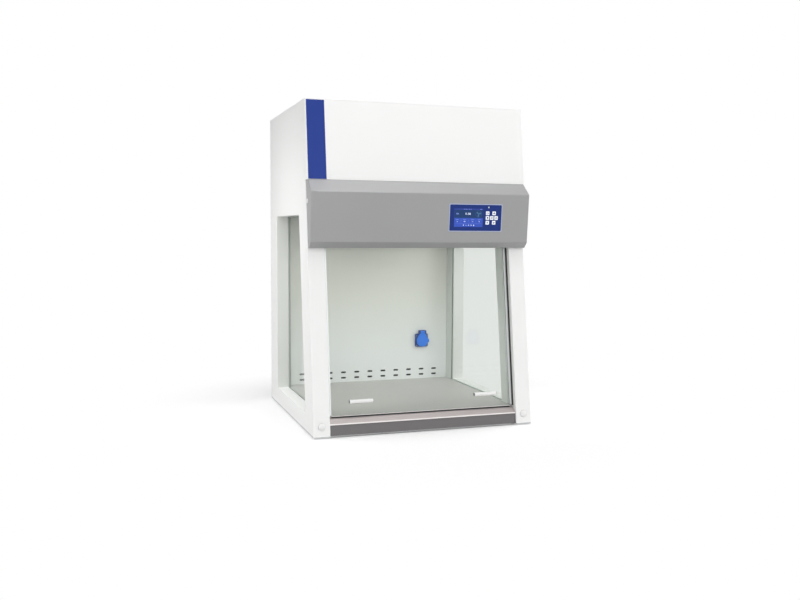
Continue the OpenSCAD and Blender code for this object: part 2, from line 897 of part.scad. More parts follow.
// Flap lid, shut; it swings up on the pin
module socket_lid() {
  lid_y = -socket_front - run_gap;
  color("#5081d0") place() at_socket() difference() {
    union() {
      translate([0, lid_y, 0]) rotate([90, 0, 0]) cylinder(d = lid_d, h = lid_t);
      translate([0, lid_y - lid_t, 0]) rotate([90, 0, 0]) cylinder(d1 = lid_d, d2 = lid_d - 10, h = 1.8);
      block([-tongue_w / 2, lid_y - lid_t, 8], [tongue_w / 2, lid_y, hinge_up]);
      translate([-tongue_w / 2, -hinge_out, hinge_up]) rotate([0, 90, 0]) cylinder(d = knuckle_d, h = tongue_w);
    }
    translate([-40, -hinge_out, hinge_up]) rotate([0, 90, 0]) cylinder(d = hinge_d + 0.1, h = 80);
  }
}

module socket_pin() {
  l = tongue_w + 2 * run_gap + 2 * ear_w;
  color("#c5c7c9") place() at_socket() translate([-l / 2, -hinge_out, hinge_up]) rotate([0, 90, 0])
    cylinder(d = hinge_d, h = l);
}

// Lamps under the ceiling

lamp_end = 60;
lamp_l = 2 * (inner_x - lamp_end);
lamp_d = 16;
lamp_drop = 19;
lamp_clear = 22;
lamp_grip = 8;
lamp_z = chamber_top - lamp_drop;
lamp_front = behind(lamp_z, header_back + sheet_t) + lamp_clear;
lamp_rear = back_y - lamp_clear - 10;
holder_l = 20;
holder_w = 24;
holder_lip = 3;

module lamp(y) {
  translate([-lamp_l / 2, y, lamp_z]) rotate([0, 90, 0]) cylinder(d = lamp_d, h = lamp_l);
}

module work_lamp() {
  color("#f6f6ee") place() lamp(lamp_front);
}

module ultraviolet_lamp() {
  color("#d9def0", 0.7) place() lamp(lamp_rear);
}

module lamp_holders() {
  color("#e6e6e4") place()
    for (y = [lamp_front, lamp_rear])
      for (s = [0, 1]) mirror([s, 0, 0]) difference() {
        block(
          [lamp_l / 2 - lamp_grip, y - holder_w / 2, lamp_z - lamp_d / 2 - holder_lip],
          [lamp_l / 2 - lamp_grip + holder_l, y + holder_w / 2, chamber_top]
        );
        translate([lamp_l / 2 - 2 * lamp_grip, y, lamp_z]) rotate([0, 90, 0])
          cylinder(d = lamp_d + 0.4, h = 2 * lamp_grip + 0.2);
      }
}

// Supply filter, fan tray and blower

supply_z = chamber_top + sheet_t;
supply_w = 2 * inner_x - 20;
tray_z = supply_z + filter_h + 33;
supply_front = behind(supply_z + filter_h, header_back + sheet_t) + 10;
supply_d = back_y - 12 - supply_front;
supply_y = supply_front + supply_d / 2;

module supply_filter_frame() {
  color("#c8a874") place() filter_box(0, supply_y, supply_w, supply_d, supply_z, filter_h);
}

module supply_filter_media() {
  color("#f2f1ea") place() filter_pleats(0, supply_y, supply_w, supply_d, supply_z, filter_h);
}

blower_rise = 110;
blower_z = tray_z + sheet_t + blower_rise;
blower_y = back_y;
housing_w = 96;
housing_gap = 8;
housing_small = wheel_d / 2 + housing_gap;
housing_grow = 30;
wheel_ring = 16;
inlet_d = wheel_d - 2 * wheel_ring + 2;
tongue_a = 300;
shaft_d = 10;
shaft_l = 80;
hub_d = 26;
hub_l = 26;
motor_d = 92;
motor_l = 86;

// The spiral of the blower's housing, let out by t, with its outlet down to a height
function spiral(t, low) = concat(
  [for (a = [0:10:tongue_a]) (housing_small + housing_grow * (1 - a / tongue_a) + t) * [cos(a), sin(a)]],
  [
    [(housing_small + t) * cos(tongue_a) - 2 * t, low],
    [housing_small + housing_grow + t, low]
  ]
);

// Deck that carries the blower; its openings are the blower's outlet and the exhaust branch
module fan_tray() {
  front = behind(tray_z + sheet_t, header_back + sheet_t) + fit_gap;
  color("#b9bdbd") place() difference() {
    block([-pan_x, front, tray_z], [pan_x, duct_y, tray_z + sheet_t]);
    block(
      [blower_x + housing_small * cos(tongue_a), blower_y - housing_w + sheet_t, tray_z - 1],
      [blower_x + housing_small + housing_grow, blower_y - sheet_t, tray_z + sheet_t + 1]
    );
    block(
      [ex_x - ex_w / 2 + filter_frame, ex_y - ex_d / 2 + filter_frame, tray_z - 1],
      [ex_x + ex_w / 2 - filter_frame, ex_y + ex_d / 2 - filter_frame, tray_z + sheet_t + 1]
    );
  }
}

module blower_housing() {
  drop = tray_z + sheet_t - blower_z;
  color("#a9adae") place() translate([blower_x, blower_y, blower_z]) difference() {
    along_y(-housing_w, 0) polygon(spiral(sheet_t, drop));
    along_y(-housing_w + sheet_t, -sheet_t) polygon(spiral(0, drop - 1));
    rotate([90, 0, 0]) translate([0, 0, -1]) cylinder(d = inlet_d, h = sheet_t + 2);
    rotate([90, 0, 0]) translate([0, 0, housing_w - sheet_t - 1]) cylinder(d = shaft_d + 6, h = sheet_t + 2);
  }
}

module blower_motor() {
  color("#44484b") place() translate([blower_x, blower_y - housing_w, blower_z]) rotate([90, 0, 0]) difference() {
    union() {
      cylinder(d = motor_d, h = motor_l);
      for (a = [0:30:330]) rotate([0, 0, a]) translate([motor_d / 2 - 1, -1.5, 8]) cube([5, 3, motor_l - 16]);
    }
    translate([0, 0, -1]) cylinder(d = shaft_d + 0.1, h = motor_l / 2);
  }
}

// Forward-curved wheel with its shaft
module blower_wheel() {
  blades = 24;
  color("#8f9496") place() translate([blower_x, blower_y, blower_z]) rotate([90, 0, 0]) {
    translate([0, 0, housing_w - 18]) cylinder(d = wheel_d, h = 3);
    translate([0, 0, 6]) difference() {
      cylinder(d = wheel_d, h = 3);
      translate([0, 0, -1]) cylinder(d = wheel_d - 2 * wheel_ring, h = 5);
    }
    for (i = [0:blades - 1])
      rotate([0, 0, i * 360 / blades]) translate([wheel_d / 2 - wheel_ring + 1, 0, 6]) rotate([0, 0, 28])
        translate([0, -0.6, 0]) cube([wheel_ring - 3, 1.2, housing_w - 22]);
    translate([0, 0, housing_w - hub_l - 14]) cylinder(d = hub_d, h = hub_l);
    translate([0, 0, housing_w - hub_l - 19]) cylinder(d = shaft_d, h = shaft_l);
  }
}

feet();
base_plate();
base_pan();
work_surface();
front_fascia();
front_sill();
post_caps();
side_shell_left();
side_shell_right();
side_liner_left();
side_liner_right();
side_glass_left();
side_glass_right();
window_seal_left();
window_seal_right();
rear_panel();
rear_screws();
power_inlet();
top_panel();
exhaust_grille();
front_cover();
label_strip();
visor();
visor_back();
visor_plugs();
control_panel();
display();
status_light();
control_board();
key_power();
key_fan();
key_lamp();
key_ultraviolet();
key_socket();
key_up();
key_down();
back_wall();
diffuser();
header_panel();
sash_guides();
guide_gaskets();
sash_glass();
sash_rail();
sash_seal();
sash_handle_left();
sash_handle_right();
socket_base();
socket_lid();
socket_pin();
work_lamp();
ultraviolet_lamp();
lamp_holders();
supply_filter_frame();
supply_filter_media();
fan_tray();
blower_housing();
blower_motor();
blower_wheel();
exhaust_filter_frame();
exhaust_filter_media();
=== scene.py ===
import json
import math

import bmesh
import bpy
from mathutils import Matrix, Vector


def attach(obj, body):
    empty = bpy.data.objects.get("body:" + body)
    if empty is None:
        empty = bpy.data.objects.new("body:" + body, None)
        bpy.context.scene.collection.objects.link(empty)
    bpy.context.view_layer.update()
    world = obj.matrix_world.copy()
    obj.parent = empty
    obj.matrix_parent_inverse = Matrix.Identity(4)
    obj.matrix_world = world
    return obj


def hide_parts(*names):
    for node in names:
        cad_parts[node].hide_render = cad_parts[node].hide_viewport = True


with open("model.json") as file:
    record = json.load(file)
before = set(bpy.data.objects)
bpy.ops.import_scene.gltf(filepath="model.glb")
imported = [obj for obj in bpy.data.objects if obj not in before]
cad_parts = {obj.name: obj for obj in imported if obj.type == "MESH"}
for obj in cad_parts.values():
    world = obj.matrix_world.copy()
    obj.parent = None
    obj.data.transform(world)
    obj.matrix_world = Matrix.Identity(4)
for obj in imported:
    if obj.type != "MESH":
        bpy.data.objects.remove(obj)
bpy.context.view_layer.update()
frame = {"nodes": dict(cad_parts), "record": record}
nodes = frame["nodes"]
print("frame loaded:", len(nodes), "nodes")

mm = 0.001
weld = 2e-6  # corners closer than this, in metres, are one
tiny = 1e-7


def shift(x, y, z):
    # a move in mm
    return Matrix.Translation((x * mm, y * mm, z * mm))


def turned(degrees, axis):
    return Matrix.Rotation(math.radians(degrees), 4, axis)


# camera, light and floor

photoCamera = {
    "place": (-0.91647, -2.77762, 0.60356),
    "turn": 18.731,  # degrees from +Y towards +X
    "down": 4.470,
    "roll": 0.317,
    "lens": 39.3215,
    "film": 36,
    "reach": (0.05, 60),  # the nearest and farthest place it sees, in metres
}


def makeCamera(settings):
    data = bpy.data.cameras.new("photoCamera")
    data.sensor_width = settings["film"]
    data.lens = settings["lens"]
    data.clip_start, data.clip_end = settings["reach"]
    camera = bpy.data.objects.new("photoCamera", data)
    bpy.context.scene.collection.objects.link(camera)
    headed = Matrix.Translation(settings["place"]) @ turned(-settings["turn"], "Z")
    camera.matrix_world = headed @ turned(90 - settings["down"], "X") @ turned(settings["roll"], "Z")
    bpy.context.scene.camera = camera


makeCamera(photoCamera)
bpy.context.scene.view_settings.view_transform = "Standard"


def srgb(r, g, b):
    def one(v):
        v = v / 255
        return v / 12.92 if v <= 0.04045 else ((v + 0.055) / 1.055) ** 2.4

    return (one(r), one(g), one(b), 1.0)


def largest(tree, sources):
    # the largest of several values
    result = sources[0]
    for source in sources[1:]:
        pair = tree.nodes.new("ShaderNodeMath")
        pair.operation = "MAXIMUM"
        tree.links.new(result, pair.inputs[0])
        tree.links.new(source, pair.inputs[1])
        result = pair.outputs[0]
    return result


def addRange(tree, source, span, target=(0.0, 1.0), smooth=False):
    # a value carried from one span to another
    node = tree.nodes.new("ShaderNodeMapRange")
    if smooth:
        node.interpolation_type = "SMOOTHSTEP"
    for label, value in zip(("From Min", "From Max", "To Min", "To Max"), (*span, *target)):
        node.inputs[label].default_value = value
    tree.links.new(source, node.inputs["Value"])
    return node.outputs["Result"]


def newMaterial(name):
    mat = bpy.data.materials.new(name)
    mat.use_nodes = True
    mat.node_tree.nodes.clear()
    return mat, mat.node_tree, mat.node_tree.nodes.new("ShaderNodeOutputMaterial")


studio = {
    "sky": 0.24,
    "lamps": {  # place, aim, size, watts and spread in degrees of each soft box
        "keyBox": ((-1.9, -3.1, 3.0), (0, 0, 0.55), 1.2, 22, 180),
        "topBox": ((0.1, -0.9, 3.4), (0, -0.1, 0.8), 2.2, 43, 180),
        "lowBox": ((-0.7, -3.6, 1.15), (0, 0, 0.4), 1.5, 22, 180),
        "sideBox": ((-0.98, -0.05, 0.88), (-0.33, 0.05, 0.05), 0.4, 1.25, 120),
        "leftBox": ((-2.5, -0.35, 1.7), (-0.35, 0.05, 0.3), 0.8, 12, 180),
        "rightBox": ((3.2, -2.2, 1.6), (0, 0, 0.5), 2.0, 34, 180),
        "farBox": ((0.98, -0.1, 0.88), (0.33, 0.05, 0.05), 0.4, 1.6, 120),
        "rearBox": ((0, 3.0, 1.5), (0, 0.33, 0.5), 0.9, 13, 180),
        "chamberLeft": ((-0.2, -0.04, 0.46), (-0.25, 0.23, 0.06), 0.3, 0.31, 180),
        "chamberRight": ((0.2, -0.04, 0.46), (0.25, 0.23, 0.06), 0.3, 0.34, 180),
    },
}


def makeStudio(settings):
    world = bpy.data.worlds.new("studioWorld")
    bpy.context.scene.world = world
    world.use_nodes = True
    tree = world.node_tree
    tree.nodes.clear()
    out = tree.nodes.new("ShaderNodeOutputWorld")
    mix = tree.nodes.new("ShaderNodeMixShader")
    # soft light falls on the object, and whatever looks past it sees white
    for socket, strength in ((1, settings["sky"]), (2, 1)):
        sky = tree.nodes.new("ShaderNodeBackground")
        sky.inputs["Color"].default_value = (1, 1, 1, 1)
        sky.inputs["Strength"].default_value = strength
        tree.links.new(sky.outputs[0], mix.inputs[socket])
    path = tree.nodes.new("ShaderNodeLightPath")
    looking = [path.outputs[ray] for ray in ("Is Camera Ray", "Is Glossy Ray", "Is Transmission Ray")]
    tree.links.new(largest(tree, looking), mix.inputs[0])
    tree.links.new(mix.outputs[0], out.inputs["Surface"])
    for name, (place, aim, size, watts, spread) in settings["lamps"].items():
        data = bpy.data.lights.new(name, "AREA")
        data.shape = "SQUARE"
        data.size = size
        data.energy = watts
        data.spread = math.radians(spread)
        lamp = bpy.data.objects.new(name, data)
        bpy.context.scene.collection.objects.link(lamp)
        lamp.location = place
        lamp.visible_camera = False
        lamp.visible_transmission = False
        lamp.rotation_mode = "QUATERNION"
        lamp.rotation_quaternion = (Vector(aim) - Vector(place)).to_track_quat("-Z", "Y")


makeStudio(studio)

# the floor keeps the shadow near the object and turns plain white between two distances, in metres
floorSettings = {
    "half": 9.0,
    "seen": 0.98,
    "bounced": 0.82,
    "fade": (0.3, 0.95),
    "rough": 0.9,
    "shine": 0.1,
}


def makeFloor(settings):
    bm = bmesh.new()
    bmesh.ops.create_grid(bm, x_segments=4, y_segments=4, size=settings["half"])
    mesh = bpy.data.meshes.new("studioFloor")
    bm.to_mesh(mesh)
    bm.free()
    floor = bpy.data.objects.new("studioFloor", mesh)
    bpy.context.scene.collection.objects.link(floor)
    mat, tree, out = newMaterial("studioFloor")
    matte = tree.nodes.new("ShaderNodeBsdfPrincipled")
    matte.inputs["Roughness"].default_value = settings["rough"]
    matte.inputs["Specular IOR Level"].default_value = settings["shine"]
    bright = tree.nodes.new("ShaderNodeEmission")
    bright.inputs["Color"].default_value = (1, 1, 1, 1)
    where = tree.nodes.new("ShaderNodeTexCoord")
    length = tree.nodes.new("ShaderNodeVectorMath")
    length.operation = "LENGTH"
    path = tree.nodes.new("ShaderNodeLightPath")
    share = tree.nodes.new("ShaderNodeMath")
    share.operation = "MULTIPLY"
    mix = tree.nodes.new("ShaderNodeMixShader")
    links = tree.links
    camera = path.outputs["Is Camera Ray"]
    links.new(where.outputs["Object"], length.inputs[0])
    links.new(addRange(tree, length.outputs["Value"], settings["fade"], smooth=True), share.inputs[0])
    links.new(camera, share.inputs[1])
    tone = addRange(tree, camera, (0.0, 1.0), (settings["bounced"], settings["seen"]))
    links.new(tone, matte.inputs["Base Color"])
    white = [share.outputs[0], path.outputs["Is Transmission Ray"], path.outputs["Is Glossy Ray"]]
    links.new(largest(tree, white), mix.inputs[0])
    links.new(matte.outputs[0], mix.inputs[1])
    links.new(bright.outputs[0], mix.inputs[2])
    links.new(mix.outputs[0], out.inputs["Surface"])
    mesh.materials.append(mat)


makeFloor(floorSettings)
print("camera, lamps and floor made")


# shared effects

# scale, detail and roughness of each noise, and how much the finer part adds
effectSettings = {
    "coat": {"peel": (900.0, 2, 0.45), "speck": (3200, 1, 0.6), "finer": 0.3, "drift": (5, 3, 0.55)},
    "brush": {"stretch": (6.0, 700.0, 700.0), "lines": (1, 4, 0.7), "wider": 0.06, "bands": (1, 3, 0.6)},
    "grain": {"pits": 1800.0, "finer": 0.5, "soft": (1100, 3, 0.6), "drift": (60, 3, 0.55)},
    "marks": {"stretch": (14, 14, 3), "swipes": (1, 4, 0.65), "ripple": (3, 1, 0.4)},
}


def newGroup(name, own=None, kind=None, value=None):
    # an effect takes a place, and some also a value of their own; it puts out a height and a drift
    group = bpy.data.node_groups.new(name, "ShaderNodeTree")
    group.interface.new_socket("Vector", in_out="INPUT", socket_type="NodeSocketVector")
    if own:
        socket = group.interface.new_socket(own, in_out="INPUT", socket_type=kind)
        socket.default_value = value
    for label in ("Height", "Drift"):
        group.interface.new_socket(label, in_out="OUTPUT", socket_type="NodeSocketFloat")
    return group, group.nodes.new("NodeGroupInput").outputs, group.nodes.new("NodeGroupOutput").inputs


def addNoise(tree, scale, detail, rough):
    noise = tree.nodes.new("ShaderNodeTexNoise")
    noise.inputs["Scale"].default_value = scale
    noise.inputs["Detail"].default_value = detail
    noise.inputs["Roughness"].default_value = rough
    return noise


def addFiner(tree, fine, share, coarse):
    # the coarse value and a share of the fine one
    mix = tree.nodes.new("ShaderNodeMath")
    mix.operation = "MULTIPLY_ADD"
    mix.inputs[1].default_value = share
    tree.links.new(fine, mix.inputs[0])
    tree.links.new(coarse, mix.inputs[2])
    return mix.outputs[0]


def makeCoatGroup(settings):
    # orange peel of a sprayed or powdered coat, with a faint drift over the sheet
    group, source, target = newGroup("sprayedCoat", "Peel", "NodeSocketFloat", settings["peel"][0])
    peel = addNoise(group, *settings["peel"])
    speck = addNoise(group, *settings["speck"])
    drift = addNoise(group, *settings["drift"])
    for noise in (peel, speck, drift):
        group.links.new(source["Vector"], noise.inputs["Vector"])
    group.links.new(source["Peel"], peel.inputs["Scale"])
    height = addFiner(group, speck.outputs["Fac"], settings["finer"], peel.outputs["Fac"])
    group.links.new(height, target["Height"])
    group.links.new(drift.outputs["Fac"], target["Drift"])
    return group


def makeBrushGroup(settings):
    # fine lines along one direction, with broader bands between them
    group, source, target = newGroup("brushLines", "Stretch", "NodeSocketVector", settings["stretch"])
    scale = group.nodes.new("ShaderNodeVectorMath")
    scale.operation = "MULTIPLY"
    lines = addNoise(group, *settings["lines"])
    wide = group.nodes.new("ShaderNodeVectorMath")
    wide.operation = "SCALE"
    wide.inputs["Scale"].default_value = settings["wider"]
    bands = addNoise(group, *settings["bands"])
    group.links.new(source["Vector"], scale.inputs[0])
    group.links.new(source["Stretch"], scale.inputs[1])
    group.links.new(scale.outputs[0], lines.inputs["Vector"])
    group.links.new(scale.outputs[0], wide.inputs[0])
    group.links.new(wide.outputs[0], bands.inputs["Vector"])
    group.links.new(lines.outputs["Fac"], target["Height"])
    group.links.new(bands.outputs["Fac"], target["Drift"])
    return group


def makeGrainGroup(settings):
    # spark-eroded grain of a moulded plastic or cast piece
    group, source, target = newGroup("mouldedGrain", "Grain", "NodeSocketFloat", settings["pits"])
    pits = group.nodes.new("ShaderNodeTexVoronoi")
    soft = addNoise(group, *settings["soft"])
    drift = addNoise(group, *settings["drift"])
    for noise in (pits, soft, drift):
        group.links.new(source["Vector"], noise.inputs["Vector"])
    group.links.new(source["Grain"], pits.inputs["Scale"])
    height = addFiner(group, pits.outputs["Distance"], settings["finer"], soft.outputs["Fac"])
    group.links.new(height, target["Height"])
    group.links.new(drift.outputs["Fac"], target["Drift"])
    return group


def makeMarksGroup(settings):
    # wiping marks and light dust on glass and film
    group, source, target = newGroup("wipeMarks")
    stretch = group.nodes.new("ShaderNodeVectorMath")
    stretch.operation = "MULTIPLY"
    stretch.inputs[1].default_value = settings["stretch"]
    swipes = addNoise(group, *settings["swipes"])
    ripple = addNoise(group, *settings["ripple"])
    group.links.new(source["Vector"], stretch.inputs[0])
    group.links.new(stretch.outputs[0], swipes.inputs["Vector"])
    group.links.new(source["Vector"], ripple.inputs["Vector"])
    group.links.new(ripple.outputs["Fac"], target["Height"])
    group.links.new(swipes.outputs["Fac"], target["Drift"])
    return group


effects = {
    "coat": makeCoatGroup(effectSettings["coat"]),
    "brush": makeBrushGroup(effectSettings["brush"]),
    "grain": makeGrainGroup(effectSettings["grain"]),
    "marks": makeMarksGroup(effectSettings["marks"]),
}


# finishes

# what each make of surface has: its effect, roughness from and to, and bump height in mm
sprayed = {"effect": "coat", "rough": (0.42, 0.52), "bump": 0.012}
film = {"effect": "coat", "rough": (0.34, 0.44), "bump": 0.006, "shine": 0.3}
brushed = {"effect": "brush", "rough": (0.3, 0.42), "bump": 0.004}
moulded = {"effect": "grain", "rough": (0.36, 0.46), "bump": 0.012}
printed = {"effect": "marks", "rough": (0.14, 0.22), "bump": 0.002}
lit = {**printed, "glow": 0.6}

# colour and its drift, and where a finish departs from its make; "own" is the effect's own value,
# and "far" a tone that the paint reaches between two places along an axis: painted light, a paler tone where
# more light falls
finishes = {
    "whitePaint": {**sprayed, "colour": (243, 243, 242), "drift": (245, 245, 244), "rough": (0.4, 0.5)},
    # painted light: the window's lower reveal is painted brighter than the white paint, for the light that
    # falls on it
    "litRevealPaint": {**sprayed, "colour": (252, 252, 251), "drift": (253, 253, 252), "rough": (0.4, 0.5)},
    # grey paint of the visor, and also the painted shadow line on the rims of the post caps
    "greyPaint": {
        **sprayed, "colour": (154, 154, 155), "drift": (159, 159, 160), "rough": (0.42, 0.5), "bump": 0.01,
        "metal": 0.25,
    },
    # painted light: the liner is painted paler towards the bottom, for the light that comes in under the
    # visor
    "linerPaint": {
        **sprayed, "colour": (222, 222, 215), "drift": (225, 225, 218), "far": (251, 253, 254),
        "farFrom": (0.44, 0.1),
    },
    # painted shade: the left window's rear jamb is painted greyer, for the shadow the post casts on it
    "shadedJambPaint": {**sprayed, "colour": (220, 222, 218), "drift": (223, 225, 221)},
    # painted shade and light: the side liners are a darker copy of the liner's paint for the shade on them,
    # and are painted paler towards the front where light comes in
    "sidePaint": {
        **sprayed, "colour": (206, 211, 207), "drift": (210, 215, 211), "far": (240, 245, 241),
        "farFrom": (0.0, -0.16), "along": "Y",
    },
    "darkPaint": {**sprayed, "colour": (104, 101, 102), "drift": (110, 107, 108), "rough": (0.42, 0.55)},
    "floorSteel": {
        **brushed, "colour": (197, 195, 192), "drift": (201, 199, 196), "rough": (0.44, 0.52),
        "bump": 0.0015, "metal": 0.2,
    },
    "sillSteel": {
        **brushed, "colour": (164, 156, 155), "drift": (172, 164, 163), "rough": (0.32, 0.46),
        "bump": 0.006, "metal": 0.35,
    },
    "sheetSteel": {
        **brushed, "colour": (188, 190, 191), "drift": (200, 202, 203), "rough": (0.34, 0.5), "bump": 0.006,
        "metal": 0.8,
    },
    "aluminium": {
        **brushed, "colour": (216, 219, 219), "drift": (225, 227, 227), "own": (700, 700, 6), "metal": 0.7,
    },
    # painted highlight on the sill's lip; the sash's pale edge profile has the same tone
    "sillLip": {**brushed, "colour": (232, 228, 226), "drift": (238, 234, 232), "metal": 0.2},
    "whitePlastic": {**moulded, "colour": (233, 233, 232), "drift": (238, 238, 237), "bump": 0.008},
    # black plastic, and also painted shade where it darkens the plenum and the socket's contact holes
    "blackPlastic": {
        **moulded, "colour": (44, 45, 47), "drift": (54, 55, 57), "rough": (0.42, 0.56), "bump": 0.02,
    },
    "blueFilm": {**film, "colour": (18, 50, 134), "drift": (21, 54, 140), "own": 500, "shine": 0.35},
    "panelFilm": {**film, "colour": (14, 44, 118), "drift": (17, 48, 124), "own": 1500},
    "screen": {**lit, "colour": (42, 68, 154), "drift": (46, 72, 160), "shine": 0.3},
    "lightLens": {
        **moulded, "colour": (168, 208, 226), "drift": (180, 216, 232), "rough": (0.2, 0.3), "bump": 0.002,
    },
    "socketDark": {
        **moulded, "colour": (18, 54, 128), "drift": (22, 60, 136), "rough": (0.36, 0.48), "shine": 0.3,
    },
    "socketLight": {
        **moulded, "colour": (50, 128, 244), "drift": (56, 134, 248), "rough": (0.34, 0.46), "shine": 0.3,
    },
    "blackRubber": {
        **moulded, "colour": (32, 33, 33), "drift": (42, 43, 43), "own": 900, "rough": (0.62, 0.8),
        "bump": 0.03,
    },
    "glazingTape": {
        **moulded, "colour": (214, 220, 215), "drift": (220, 226, 221), "own": 900, "rough": (0.6, 0.75),
        "bump": 0.02,
    },
    "board": {
        **moulded, "colour": (44, 104, 68), "drift": (58, 124, 82), "own": 700, "rough": (0.4, 0.55),
        "bump": 0.02,
    },
    "filterWood": {
        **brushed, "colour": (198, 168, 118), "drift": (176, 142, 92), "own": (8, 160, 160),
        "rough": (0.55, 0.75), "bump": 0.03,
    },
    "filterPaper": {
        **moulded, "colour": (240, 238, 230), "drift": (230, 227, 217), "own": 600, "rough": (0.8, 0.95),
        "bump": 0.05,
    },
    "motorCast": {
        **moulded, "colour": (68, 72, 76), "drift": (80, 84, 88), "own": 500, "rough": (0.5, 0.68),
        "bump": 0.08, "metal": 0.3,
    },
    "zincSteel": {
        **moulded, "colour": (172, 176, 178), "drift": (194, 198, 201), "own": 90, "rough": (0.3, 0.48),
        "bump": 0.004, "metal": 0.85,
    },
    "screwSteel": {
        **brushed, "colour": (196, 198, 200), "drift": (208, 210, 212), "own": (600, 600, 600),
        "rough": (0.2, 0.32), "metal": 0.95,
    },
    "handlePlastic": {
        **moulded, "colour": (238, 238, 237), "drift": (242, 242, 241), "rough": (0.3, 0.4), "bump": 0.005,
    },
    # grey plastic of the handle plugs, partly painted shade on the bars' ends
    "greyPlastic": {
        **moulded, "colour": (104, 105, 107), "drift": (114, 115, 117), "rough": (0.4, 0.5), "bump": 0.01,
    },
    # painted light: the keys glow faintly, though they hold no lamp
    "keyPlastic": {
        **moulded, "colour": (240, 245, 254), "drift": (244, 248, 254), "rough": (0.34, 0.44),
        "bump": 0.006, "glow": 0.14,
    },
    "signInk": {
        **moulded, "colour": (22, 34, 74), "drift": (26, 38, 80), "rough": (0.4, 0.5), "bump": 0.002,
    },
    "panelRim": {
        **moulded, "colour": (176, 186, 214), "drift": (184, 194, 220), "rough": (0.3, 0.4), "bump": 0.004,
    },
    "screenBand": {**lit, "colour": (14, 44, 86), "drift": (18, 50, 92), "shine": 0.3},
    "screenHead": {**lit, "colour": (34, 52, 122), "drift": (38, 56, 128), "shine": 0.3},
    "screenWhite": {**printed, "colour": (212, 224, 246), "drift": (218, 230, 248), "glow": 0.5},
    "screenPale": {**printed, "colour": (112, 132, 206), "drift": (120, 140, 212), "glow": 0.5},
    "screenFan": {**lit, "colour": (44, 84, 124), "drift": (48, 90, 130)},
    "tubeGlass": {**printed, "colour": (244, 244, 238), "drift": (248, 248, 244), "rough": (0.14, 0.24)},
}
# the stretch of an effect's drift over which roughness changes, on a finish and on glass
driftSpan = (0.3, 0.7)
wipedSpan = (0.45, 0.75)


def addEffect(tree, kind):
    where = tree.nodes.new("ShaderNodeTexCoord").outputs["Object"]
    effect = tree.nodes.new("ShaderNodeGroup")
    effect.node_tree = effects[kind]
    tree.links.new(where, effect.inputs["Vector"])
    return where, effect


def makeFinish(name, settings):
    mat, tree, out = newMaterial(name)
    links = tree.links
    shader = tree.nodes.new("ShaderNodeBsdfPrincipled")
    shader.inputs["Metallic"].default_value = settings.get("metal", 0.0)
    shader.inputs["Specular IOR Level"].default_value = settings.get("shine", 0.5)
    where, effect = addEffect(tree, settings["effect"])
    if "own" in settings:
        effect.inputs[1].default_value = settings["own"]
    colour = tree.nodes.new("ShaderNodeMix")
    colour.data_type = "RGBA"
    colour.inputs["A"].default_value = srgb(*settings["colour"])
    colour.inputs["B"].default_value = srgb(*settings["drift"])
    links.new(effect.outputs["Drift"], colour.inputs["Factor"])
    tone = colour.outputs["Result"]
    bump = tree.nodes.new("ShaderNodeBump")
    bump.inputs["Distance"].default_value = settings["bump"] * mm
    bump.inputs["Strength"].default_value = 1
    links.new(effect.outputs["Height"], bump.inputs["Height"])
    links.new(bump.outputs["Normal"], shader.inputs["Normal"])
    rough = addRange(tree, effect.outputs["Drift"], driftSpan, settings["rough"])
    links.new(rough, shader.inputs["Roughness"])
    # painted light: the colour turns towards the paler far tone along one axis, where more light falls
    if "far" in settings:
        parts = tree.nodes.new("ShaderNodeSeparateXYZ")
        links.new(where, parts.inputs[0])
        along = parts.outputs[settings.get("along", "Z")]
        paintedLightMix = tree.nodes.new("ShaderNodeMix")
        paintedLightMix.data_type = "RGBA"
        paintedLightMix.inputs["B"].default_value = srgb(*settings["far"])
        links.new(addRange(tree, along, settings["farFrom"], smooth=True), paintedLightMix.inputs["Factor"])
        links.new(tone, paintedLightMix.inputs["A"])
        tone = paintedLightMix.outputs["Result"]
    links.new(tone, shader.inputs["Base Color"])
    if "glow" in settings:
        links.new(tone, shader.inputs["Emission Color"])
        shader.inputs["Emission Strength"].default_value = settings["glow"]
    links.new(shader.outputs["BSDF"], out.inputs["Surface"])
    return mat


# glass: tint, roughness from and to, and how it bends light; lamps and soft light pass through it
glassFinishes = {
    "clearGlass": {"tint": (240, 242, 240), "rough": (0.0, 0.01), "bend": 1.3},
    "sideGlass": {"tint": (240, 242, 240), "rough": (0.0, 0.01), "bend": 1.1},
    "quartzGlass": {"tint": (236, 240, 250), "rough": (0.01, 0.04), "bend": 1.46},
}


def makeGlass(name, settings):
    mat, tree, out = newMaterial(name)
    links = tree.links
    shader = tree.nodes.new("ShaderNodeBsdfPrincipled")
    shader.inputs["Base Color"].default_value = srgb(*settings["tint"])
    shader.inputs["Transmission Weight"].default_value = 1
    shader.inputs["IOR"].default_value = settings["bend"]
    clear = tree.nodes.new("ShaderNodeBsdfTransparent")
    clear.inputs["Color"].default_value = srgb(*settings["tint"])
    effect = addEffect(tree, "marks")[1]
    rough = addRange(tree, effect.outputs["Drift"], wipedSpan, settings["rough"])
    links.new(rough, shader.inputs["Roughness"])
    path = tree.nodes.new("ShaderNodeLightPath")
    mix = tree.nodes.new("ShaderNodeMixShader")
    passing = [path.outputs["Is Shadow Ray"], path.outputs["Is Diffuse Ray"]]
    links.new(largest(tree, passing), mix.inputs[0])
    links.new(shader.outputs["BSDF"], mix.inputs[1])
    links.new(clear.outputs["BSDF"], mix.inputs[2])
    links.new(mix.outputs[0], out.inputs["Surface"])
    return mat


materials = {name: makeFinish(name, s) for name, s in finishes.items()}
materials.update({name: makeGlass(name, s) for name, s in glassFinishes.items()})
print("finishes made:", len(materials))


